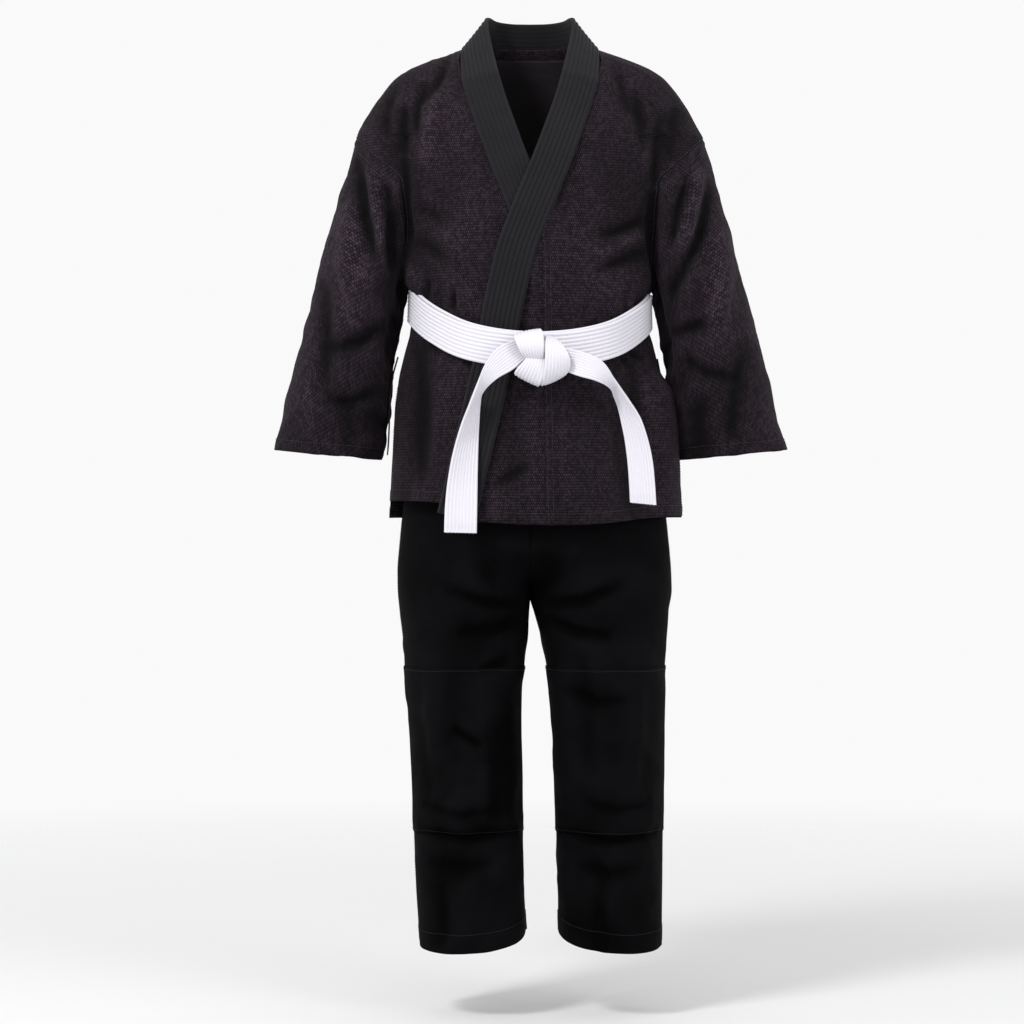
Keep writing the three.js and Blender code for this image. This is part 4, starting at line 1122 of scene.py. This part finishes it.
class Shader:
    """One material and the nodes in it."""

    def __init__(self, name, **finish):
        self.material = bpy.data.materials.new(name)
        self.material.use_nodes = True
        self.tree = self.material.node_tree
        self.tree.nodes.clear()
        self.surface = self.tree.nodes.new("ShaderNodeBsdfPrincipled")
        output = self.tree.nodes.new("ShaderNodeOutputMaterial")
        self.tree.links.new(self.surface.outputs[0], output.inputs["Surface"])
        for socket, value in finish.items():
            self.surface.inputs[socket.replace("_", " ")].default_value = value

    def node(self, kind, settings, inputs, output=0):
        made = self.tree.nodes.new(kind)
        stops = settings.pop("stops", None)
        for key, value in settings.items():
            setattr(made, key, value)
        if stops:
            ramp = made.color_ramp
            while len(ramp.elements) < len(stops):
                ramp.elements.new(0.5)
            for element, (place, colour) in zip(ramp.elements, stops):
                element.position, element.color = place, colour
        for key, value in inputs.items():
            if isinstance(value, Value):
                self.tree.links.new(value.socket, made.inputs[key])
            else:
                made.inputs[key].default_value = value
        return Value(self, made.outputs[output])

    def cloth_place(self):
        """How far across and down the cloth each point is, in metres."""
        uv = self.node("ShaderNodeUVMap", dict(uv_map="cloth"), {})
        return [self.node("ShaderNodeSeparateXYZ", {}, {0: uv}, axis) for axis in "XY"]

    def painted_light_fac(self):
        """The painted light and shade on the cloth, from 0 (darkest) to 1 (lightest)."""
        return self.node("ShaderNodeAttribute", dict(attribute_name="painted_light"), {}, "Fac")

    def object_place(self):
        return self.node("ShaderNodeTexCoord", {}, {}, "Object")

    def noise(self, place, scale, detail=3.0, rough=0.55):
        return self.node("ShaderNodeTexNoise", {}, {"Vector": place, "Scale": scale,
                                                    "Detail": detail, "Roughness": rough})

    def blend(self, factor, first, second, kind="MIX"):
        return self.node("ShaderNodeMix", dict(data_type="RGBA", blend_type=kind,
                                               clamp_factor=True),
                         {0: factor, 6: first, 7: second}, 2)

    def finish(self, colour=None, roughness=None, height=None, distance=0.0004, strength=1.0):
        links = self.tree.links
        if colour is not None:
            links.new(colour.socket, self.surface.inputs["Base Color"])
        if roughness is not None:
            links.new(roughness.socket, self.surface.inputs["Roughness"])
        if height is not None:
            bump = self.node("ShaderNodeBump", {}, {"Height": height, "Distance": distance,
                                                    "Strength": strength}, "Normal")
            links.new(bump.socket, self.surface.inputs["Normal"])
        return self.material


def colour(r, g, b):
    """A linear colour from 0-255 screen values."""
    lin = [(c / 255) / 12.92 if c <= 10 else (((c / 255) + 0.055) / 1.055) ** 2.4
           for c in (r, g, b)]
    return (*lin, 1.0)


def grain_weave(shader, across, down, wide, tall):
    """Staggered rice-grain bumps: height 0 to 1, and the grain's own random shade."""
    row = (down / tall).floor()
    shifted = across / wide + (row % 2.0) * 0.5
    u = (shifted % 1.0) - 0.5
    v = ((down / tall) % 1.0) - 0.5
    height = (1.0 - (u * u * 4.6 + v * v * 4.2)).clamped()
    cell = shader.node("ShaderNodeCombineXYZ", {}, {0: shifted.floor(), 1: row, 2: 0.0})
    shade = shader.node("ShaderNodeTexWhiteNoise", dict(noise_dimensions="2D"),
                        {"Vector": cell}, "Value")
    return height.root(), shade


def plain_weave(across, down, pitch):
    """Crossing threads, over and under."""
    u, v = across * (math.pi / pitch), down * (math.pi / pitch)
    return (u.sine() * v.sine()).size()


def make_jacket_cloth():
    s = Shader("jacket cloth", Roughness=0.88, Sheen_Weight=0.08, Sheen_Roughness=0.5,
               Specular_IOR_Level=0.12)
    s.surface.inputs["Sheen Tint"].default_value = colour(150, 132, 148)
    across, down = s.cloth_place()
    height, shade = grain_weave(s, across, down, 0.0026, 0.0032)
    place = s.object_place()
    cloudy = s.noise(place, 22.0, 4.0)
    fine = s.noise(place, 900.0, 2.0)
    deep, raised = colour(7, 6, 7), colour(67, 56, 66)
    tone = s.blend((height * 0.60 + shade * 0.58 - 0.20).clamped(), deep, raised)
    patchy = s.blend((cloudy * 1.8 - 0.45).clamped(), colour(196, 188, 196),
                     colour(255, 250, 255))
    tone = s.blend(1.0, tone, patchy, "MULTIPLY")
    # Painted shade: darker in the folds, at the sides and on the sleeves' inner sides, lighter on
    # the ridges.
    painted_shade = s.blend(s.painted_light_fac(), colour(62, 58, 62), colour(255, 255, 255))
    tone = s.blend(1.0, tone, painted_shade, "MULTIPLY")
    return s.finish(tone, 0.80 + fine * 0.16, height * 0.8 + fine * 0.2, 0.0007, 0.85)


def make_band_cloth():
    s = Shader("quilted band cloth", Roughness=0.85, Sheen_Weight=0.05, Sheen_Roughness=0.5,
               Specular_IOR_Level=0.14)
    across, down = s.cloth_place()
    ribs = (down * (math.pi / 0.0011)).sine().size()
    threads = plain_weave(across, down, 0.0007)
    cloudy = s.noise(s.object_place(), 30.0, 4.0)
    tone = s.blend((ribs * 0.6 + threads * 0.35 + cloudy * 0.5 - 0.3).clamped(),
                   colour(7, 6, 8), colour(36, 34, 39))
    # Painted shade along the stitched grooves of the quilting.
    rows = ((across * ((BAND_ROWS + 1) / LAPEL_WIDTH)) % 1.0 - 0.5).size() * 2.0
    held = (rows * 4.0 - 3.0).clamped()
    tone = s.blend(held * 0.75, tone, colour(5, 5, 6))
    return s.finish(tone, 0.78 + cloudy * 0.16, ribs * 0.6 + threads * 0.4 - held, 0.0004, 0.7)


def make_trouser_cloth():
    s = Shader("trouser cloth", Roughness=0.9, Specular_IOR_Level=0.05)
    across, down = s.cloth_place()
    threads = plain_weave(across, down, 0.0008)
    cloudy = s.noise(s.object_place(), 14.0, 4.0)
    tone = s.blend((threads * 0.5 + cloudy * 0.6 - 0.15).clamped(), colour(2, 2, 3),
                   colour(19, 17, 21))
    # Painted shade: darker in the folds, lighter on the ridges.
    painted_shade = s.blend(s.painted_light_fac(), colour(30, 30, 30), colour(255, 255, 255))
    tone = s.blend(1.0, tone, painted_shade, "MULTIPLY")
    return s.finish(tone, 0.84 + cloudy * 0.12, threads, 0.00025, 0.5)


def make_belt_cloth():
    s = Shader("belt cloth", Roughness=0.85, Sheen_Weight=0.12, Sheen_Roughness=0.5,
               Specular_IOR_Level=0.3)
    across, down = s.cloth_place()
    twill = ((across * 0.55 + down) * (math.pi / 0.0009)).sine().size()
    cloudy = s.noise(s.object_place(), 26.0, 4.0)
    rows = ((across * ((BELT_ROWS + 1) / BELT_WIDTH)) % 1.0 - 0.5).size() * 2.0
    held = (rows * 6.0 - 5.0).clamped()
    tone = s.blend((twill * 0.4 + cloudy * 0.5).clamped(), colour(206, 203, 214),
                   colour(226, 224, 230))
    # Painted shade along the stitched grooves.
    tone = s.blend(held * 0.5, tone, colour(186, 182, 197))
    return s.finish(tone, 0.78 + cloudy * 0.14, twill * 0.35 - held * 0.8, 0.0003, 0.6)


def make_elastic():
    s = Shader("ribbed elastic", Roughness=0.8, Specular_IOR_Level=0.25)
    across, down = s.cloth_place()
    ribs = (down * (math.pi / 0.0016)).sine().size()
    weave = (across * (math.pi / 0.0009)).sine().size()
    tone = s.blend((ribs * 0.6 + weave * 0.4).clamped(), colour(14, 13, 15), colour(40, 38, 42))
    return s.finish(tone, 0.72 + ribs * 0.14, ribs * 0.7 + weave * 0.3, 0.0004, 0.7)


def make_lining():
    s = Shader("lining cloth", Roughness=0.85, Specular_IOR_Level=0.25)
    across, down = s.cloth_place()
    threads = plain_weave(across, down, 0.0009)
    cloudy = s.noise(s.object_place(), 20.0, 3.0)
    tone = s.blend((threads * 0.5 + cloudy * 0.5).clamped(), colour(20, 17, 20), colour(44, 39, 44))
    return s.finish(tone, 0.8 + cloudy * 0.12, threads, 0.0003, 0.5)


def make_thread(name, low, high):
    s = Shader(name, Roughness=0.6, Specular_IOR_Level=0.4)
    place = s.object_place()
    twist = s.node("ShaderNodeTexWave", dict(wave_type="BANDS", bands_direction="DIAGONAL"),
                   {"Vector": place, "Scale": 700.0, "Distortion": 1.0}, "Fac")
    return s.finish(s.blend(twist, low, high), 0.5 + twist * 0.2, twist, 0.0001, 0.5)


JACKET_CLOTH = make_jacket_cloth()
BAND_CLOTH = make_band_cloth()
TROUSER_MATERIAL = make_trouser_cloth()
BELT_CLOTH = make_belt_cloth()
ELASTIC = make_elastic()
LINING = make_lining()
DARK_THREAD = make_thread("dark thread", colour(20, 17, 20), colour(66, 58, 66))
BLACK_THREAD = make_thread("black thread", colour(7, 6, 7), colour(24, 22, 25))
WHITE_THREAD = make_thread("white thread", colour(192, 189, 200), colour(228, 227, 232))

# ---- Stitches -----------------------------------------------------------------------------


def stitch_tree(name, material):
    """Geometry nodes that lay small stitches along lines of edges."""
    tree = bpy.data.node_groups.new(name, "GeometryNodeTree")
    face = tree.interface
    face.new_socket("Geometry", in_out="INPUT", socket_type="NodeSocketGeometry")
    sockets = {}
    for label, value in (("Pitch", 0.003), ("Length", 0.0022), ("Thickness", 0.0003)):
        made = face.new_socket(label, in_out="INPUT", socket_type="NodeSocketFloat")
        made.default_value = value
        sockets[label] = made.identifier
    face.new_socket("Geometry", in_out="OUTPUT", socket_type="NodeSocketGeometry")
    nodes, links = tree.nodes, tree.links

    def add(kind, settings=(), **wires):
        made = nodes.new(kind)
        for key, value in dict(settings).items():
            setattr(made, key, value)
        for key, value in wires.items():
            key = key.replace("_", " ")
            if hasattr(value, "is_output"):
                links.new(value, made.inputs[key])
            else:
                made.inputs[key].default_value = value
        return made

    entry = nodes.new("NodeGroupInput")
    lines = add("GeometryNodeMeshToCurve", Mesh=entry.outputs["Geometry"])
    even = add("GeometryNodeResampleCurve", dict(mode="LENGTH"), Curve=lines.outputs["Curve"],
               Length=entry.outputs["Pitch"])
    points = add("GeometryNodeCurveToPoints", dict(mode="EVALUATED"), Curve=even.outputs["Curve"])
    bead = add("GeometryNodeMeshUVSphere", Segments=6, Rings=4, Radius=1.0)
    half = add("ShaderNodeMath", dict(operation="MULTIPLY"))
    links.new(entry.outputs["Length"], half.inputs[0])
    half.inputs[1].default_value = 0.5
    size = nodes.new("ShaderNodeCombineXYZ")
    links.new(entry.outputs["Thickness"], size.inputs[0])
    links.new(entry.outputs["Thickness"], size.inputs[1])
    links.new(half.outputs[0], size.inputs[2])
    placed = add("GeometryNodeInstanceOnPoints", Points=points.outputs["Points"],
                 Instance=bead.outputs["Mesh"], Rotation=points.outputs["Rotation"],
                 Scale=size.outputs[0])
    real = add("GeometryNodeRealizeInstances", Geometry=placed.outputs["Instances"])
    coloured = add("GeometryNodeSetMaterial", Geometry=real.outputs["Geometry"], Material=material)
    leave = nodes.new("NodeGroupOutput")
    links.new(coloured.outputs["Geometry"], leave.inputs["Geometry"])
    return tree, sockets


STITCH_TREES = {m: stitch_tree("stitches in " + m.name, m)
                for m in (DARK_THREAD, BLACK_THREAD, WHITE_THREAD)}


def sew(name, lines, thread, pitch=0.0032, length=0.0023, thickness=0.00032):
    """Stitches along each line of points, as one plain mesh."""
    name = name.replace(" ", "_")
    points, edges, start = [], [], 0
    for line in lines:
        points.append(line)
        edges.append(np.stack([np.arange(len(line) - 1), np.arange(1, len(line))], 1) + start)
        start += len(line)
    mesh = bpy.data.meshes.new(name)
    points, edges = np.concatenate(points), np.concatenate(edges)
    mesh.from_pydata(points.tolist(), edges.tolist(), [])
    guide = bpy.data.objects.new(name + " line", mesh)
    bpy.context.scene.collection.objects.link(guide)
    tree, sockets = STITCH_TREES[thread]
    modifier = guide.modifiers.new("stitches", "NODES")
    modifier.node_group = tree
    modifier[sockets["Pitch"]] = pitch * 1.0
    modifier[sockets["Length"]] = length
    modifier[sockets["Thickness"]] = thickness
    ready = guide.evaluated_get(bpy.context.evaluated_depsgraph_get())
    result = bpy.data.meshes.new_from_object(ready)
    bpy.data.objects.remove(guide)
    for polygon in result.polygons:
        polygon.use_smooth = True
    obj = bpy.data.objects.new(name, result)
    bpy.context.scene.collection.objects.link(obj)
    if not result.materials:
        result.materials.append(thread)
    return obj


# ---- Jacket -------------------------------------------------------------------------------


def piece(obj, body, slot, *nodes):
    if nodes:
        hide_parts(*nodes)
    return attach(obj, body)


def across_joint(obj, first, second, bend, slot, *nodes):
    """Hides the listed parts and bakes the piece's place into its points. The two points of bend
    are not used.
    """
    if nodes:
        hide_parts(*nodes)
    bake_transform(obj)
    return obj


front_l, front_r = front_left(), front_right()
over_l, over_r = overlap_left(), overlap_right()
back_l, back_r = back(1), back(-1)
jacket_parts = [
    (front_l, "front left", "front_panel_left"),
    (front_r, "front right", "front_panel_right"),
    (over_l, "front overlap left", "front_overlap_left"),
    (over_r, "front overlap right", "front_overlap_right"),
    (back_l, "back left", "back_panel_left"),
    (back_r, "back right", "back_panel_right"),
]
for panel, name, node in jacket_parts:
    panel.push(edge_roll(panel.uv[-1:, :, 1] - panel.uv[:, :, 1], HEM_FOLD, FOLD_RISE))
    piece(panel.shell(name, CLOTH, JACKET_CLOTH), "jacket", "jacket_cloth", node)
piece(yoke().shell("yoke lining", 0.0010, LINING), "jacket",
                              "jacket_cloth", "yoke_lining")

left_stations, right_stations = lapel_stations(True), lapel_stations(False)
mirror_row = np.array([-1, 1, 1, -1, 1, 1.0])
NECK_SHARE = 0.115
lapel_left, left_in, left_out = lapel_band(
    "lapel left", left_stations, NECK_SHARE, 1.0, 330, BAND_CLOTH)
lapel_right, right_in, right_out = lapel_band(
    "lapel right", right_stations * mirror_row, NECK_SHARE, 1.0, 330, BAND_CLOTH)
half_neck = spline(left_stations, int(600 * DENSITY))
half_neck = half_neck[1:int(NECK_SHARE * (len(half_neck) - 1))]
neck = np.concatenate([(half_neck * mirror_row)[::-1], [left_stations[0]], half_neck])
collar_out = neck[:, 3:] * [1, 1, 0] - [0, 0.012, 0]
collar = band("collar", neck[:, :3], neck[:, 3:], collar_out, BAND, BAND_ROWS, BAND_CLOTH,
              groove=0.0006, puff=0.0006)
piece(lapel_left, "jacket", "band_cloth", "lapel_left")
piece(lapel_right, "jacket", "band_cloth", "lapel_right")
piece(collar, "jacket", "band_cloth", "collar_back")

# Stitches on the jacket
lapel_rows = []
for inner, outer, out in ((left_in, left_out, lapel_outward(left_in, left_out)),
                          (right_in, right_out, lapel_outward(right_in, right_out)),
                          (neck[:, :3], neck[:, 3:], collar_out)):
    lapel_rows += band_rows(inner, outer, out, BAND, BAND_ROWS, -0.0004)
piece(sew("lapel stitches", lapel_rows, BLACK_THREAD, *BAND_STITCH), "jacket", "band_cloth")
seam_first = front_l.share_down(-1, 0.225)
slit_first = front_l.share_down(0, 0.400)
arm_first, arm_last = front_l.share_down(0, 0.094), front_l.share_down(0, 0.262)
jacket_lines = [front_l.beside(1, gap, STITCH_LIFT, seam_first, 0.995) for gap in (0.0025, 0.0085)]
jacket_lines += [panel.level(HEM_FOLD, STITCH_LIFT, 0.015, 0.985) for panel, *_ in jacket_parts]
for gap, first, last in ((0.008, slit_first, 0.99), (0.004, arm_first, arm_last)):
    jacket_lines += [panel.beside(edge, gap, STITCH_LIFT, first, last)
                     for panel, edge in ((front_l, 0), (front_r, 1), (back_l, 0), (back_r, 1))]
jacket_lines += [panel.beside(edge, 0.006, STITCH_LIFT, 0.03, 0.99)
                 for panel, edge in ((back_l, 1), (back_r, 0))]
piece(sew("jacket seam stitches", jacket_lines, DARK_THREAD), "jacket", "jacket_cloth")

# ---- Belt, knot and tails -----------------------------------------------------------------

for layer, drop, node in ((0, 0.0016, "belt_wrap_inner"), (1, -0.0012, "belt_wrap_outer")):
    high, low, out = belt_round(layer, drop)
    wrap = band(node.replace("_", " "), high, low, out, BELT, BELT_ROWS, BELT_CLOTH,
                loop=True, width=BELT_WIDTH)
    piece(wrap, "jacket", "belt_cloth", node)
    if layer:
        high, low, out = (np.vstack([line, line[:1]]) for line in (high, low, out))
        rows = band_rows(high, low, out, BELT, BELT_ROWS, -0.0003)
        piece(sew("belt stitches", rows, WHITE_THREAD, *BELT_STITCH), "jacket", "belt_cloth")

for name, table, crown, nodes in (("knot lower wrap", KNOT_UNDER, 0.0010, ["belt_knot"]),
                                  ("knot upper wrap", KNOT_OVER, 0.0014, []),
                                  ("knot cross wrap", KNOT_ACROSS, 0.0014, [])):
    wrap = strap(name, table, 90, 0.034, 0.0034, crown, 7, puff=0.0004)[0]
    piece(wrap, "jacket", "belt_cloth", *nodes)

for table, side in ((RIGHT_TAIL, "right"), (LEFT_TAIL, "left")):
    node = "belt_tail_" + side
    tail, a, b = strap("belt tail " + side, table, 240, 0.037)
    out = np.zeros_like(a)
    out[:, 1] = -1
    lines = band_rows(a, b, out, BELT, BELT_ROWS, -0.0003)
    for steps in (9, 6):
        k = -1 - int(steps * DENSITY)
        end = np.stack([lerp(a[k], b[k], t) for t in np.linspace(0.06, 0.94, 30)])
        lines.append(end + [0, -BELT - 0.0002, 0])
    threads = sew("belt tail stitches " + side, lines, WHITE_THREAD, *BELT_STITCH)
    bend = ("jacket", "tail_" + side, TAIL_BENDS[side], "belt_cloth")
    across_joint(tail, *bend, node)
    across_joint(threads, *bend)

for side, word in ((1, "left"), (-1, "right")):
    a, b = tie(side)
    out = np.zeros_like(a)
    out[:, 0] = side
    tape = band("side tie " + word, a, b, out, 0.0014, 2, BAND_CLOTH, groove=0.0002, puff=0.0001,
                width=0.012)
    piece(tape, "tie_" + word, "band_cloth", "side_tie_" + word)

# ---- Sleeves ------------------------------------------------------------------------------

for side, word in ((1, "left"), (-1, "right")):
    node = "sleeve_" + word
    panel = sleeve(side)
    tube = panel.shell("sleeve " + word, CLOTH, JACKET_CLOTH)
    fold = slice(-int(16 * DENSITY), None)
    inner = Panel(panel.points[fold] - panel.normals()[fold] * (CLOTH + 0.0003),
                  panel.uv[fold], panel.outward[fold], True)
    inner.points[..., 2] += 0.0006
    hem = inner.shell("cuff hem " + word, 0.0012, JACKET_CLOTH)
    opened = panel.opened()
    lines = [opened.level(HEM_FOLD, STITCH_LIFT),
             opened.at(0.022, np.linspace(0, 1, 240), STITCH_LIFT)]
    threads = sew("sleeve stitches " + word, lines, DARK_THREAD)
    start = np.array([side * 0.206, 0.0, -0.094])
    way = np.array([side * 0.948, 0.0, -0.318])
    bend = ("jacket", node, (tuple(start), tuple(start + 0.060 * way)), "jacket_cloth")
    across_joint(tube, *bend, node)
    across_joint(hem, *bend, "cuff_hem_" + word)
    across_joint(threads, *bend)

# ---- Trousers -----------------------------------------------------------------------------

LEG_BEND = ((0.0, 0.0, -0.655), (0.0, 0.0, -0.780))
for side, word in ((1, "left"), (-1, "right")):
    bend = ("trousers", "leg_" + word, LEG_BEND, "trouser_cloth")
    lines = []
    for face, place in ((1, "front"), (-1, "back")):
        panel = trouser_panel(side, face)
        half = place + "_" + word
        obj = panel.shell("trouser " + half, TROUSER_CLOTH, TROUSER_MATERIAL)
        across_joint(obj, *bend, "trouser_" + half, "leg_" + half)
        lines += [panel.level(LEG_HEM_FOLD, STITCH_LIFT),
                  panel.beside(0, 0.005, 0.0003, 0.02, 0.99)]
        if face > 0:
            patch, node = knee_patch(panel), "knee_patch_" + word
            sewn = patch.shell("knee patch " + word, 0.0012, TROUSER_MATERIAL)
            across_joint(sewn, *bend, node)
            lines += [patch.level(0.003, 0.0003), patch.at(0.015, np.linspace(0, 1, 120), 0.0003)]
    across_joint(sew("trouser stitches " + word, lines, BLACK_THREAD), *bend)

band_ring = ring(WAISTBAND_TOP, WAISTBAND_LOW, 0.1225, 0.0865, 0.0865, 0.0014, 52, 24, 5)
piece(band_ring.shell("waistband", 0.0014, TROUSER_MATERIAL), "trousers", "trouser_cloth",
      "waistband")
elastic_ring = ring(WAISTBAND_TOP - 0.004, WAISTBAND_LOW + 0.004, 0.1190, 0.0830, 0.0830,
                    0.0004, 52, 10, 5)
piece(elastic_ring.shell("waist elastic", 0.0012, ELASTIC), "trousers", "elastic",
      "waist_elastic")
lines = [band_ring.opened().at(row, np.linspace(0, 1, 500), 0.0003)
         for row in (0.12, 0.37, 0.63, 0.88)]
piece(sew("waistband stitches", lines, BLACK_THREAD), "trousers", "trouser_cloth")

# ---- Floor, light and camera --------------------------------------------------------------


def add_light(name, kind, place, aim, energy, size=1.0):
    data = bpy.data.lights.new(name, kind)
    data.energy = energy
    if kind == "AREA":
        data.shape, data.size = "DISK", size
    else:
        data.angle = size
    obj = bpy.data.objects.new(name, data)
    bpy.context.scene.collection.objects.link(obj)
    obj.location = place
    obj.rotation_euler = (Vector(aim) - Vector(place)).to_track_quat("-Z", "Y").to_euler()


def make_floor():
    """A pale disc under the object that fades out into the white around it."""
    reach = 3.0
    points = [(x, y, -1.120) for y in (-reach, reach) for x in (-reach, reach)]
    s = Shader("pale floor", Roughness=0.9, Specular_IOR_Level=0.1)
    s.surface.inputs["Base Color"].default_value = (0.72, 0.72, 0.725, 1)
    place = s.object_place()
    x = s.node("ShaderNodeSeparateXYZ", {}, {0: place}, "X")
    y = s.node("ShaderNodeSeparateXYZ", {}, {0: place}, "Y")
    reached = (x * x + y * y).root()
    s.tree.links.new(((2.6 - reached) / 1.8).clamped().socket, s.surface.inputs["Alpha"])
    return make_mesh("floor", points, [[0, 1, 3, 2]], [p[:2] for p in points], s.material)


floor = make_floor()
world = bpy.data.worlds.new("studio")
world.use_nodes = True
world.node_tree.nodes["Background"].inputs[0].default_value = (1.0, 1.0, 1.0, 1)
world.node_tree.nodes["Background"].inputs[1].default_value = 0.95
bpy.context.scene.world = world
bpy.context.scene.view_settings.view_transform = "Standard"
add_light("key", "AREA", (-1.5, -1.9, 1.7), (0, 0, -0.45), 62, 0.8)
add_light("fill", "AREA", (1.9, -2.0, 0.6), (0, 0, -0.5), 16, 1.2)

camera_data = bpy.data.cameras.new("camera")
camera_data.lens = 36 * 3.5 / 1.204
camera_data.sensor_width = 36
camera = bpy.data.objects.new("camera", camera_data)
camera.location = (-0.021, -3.5, -0.532)
camera.rotation_euler = (math.pi / 2, 0, 0)
bpy.context.scene.collection.objects.link(camera)
bpy.context.scene.camera = camera
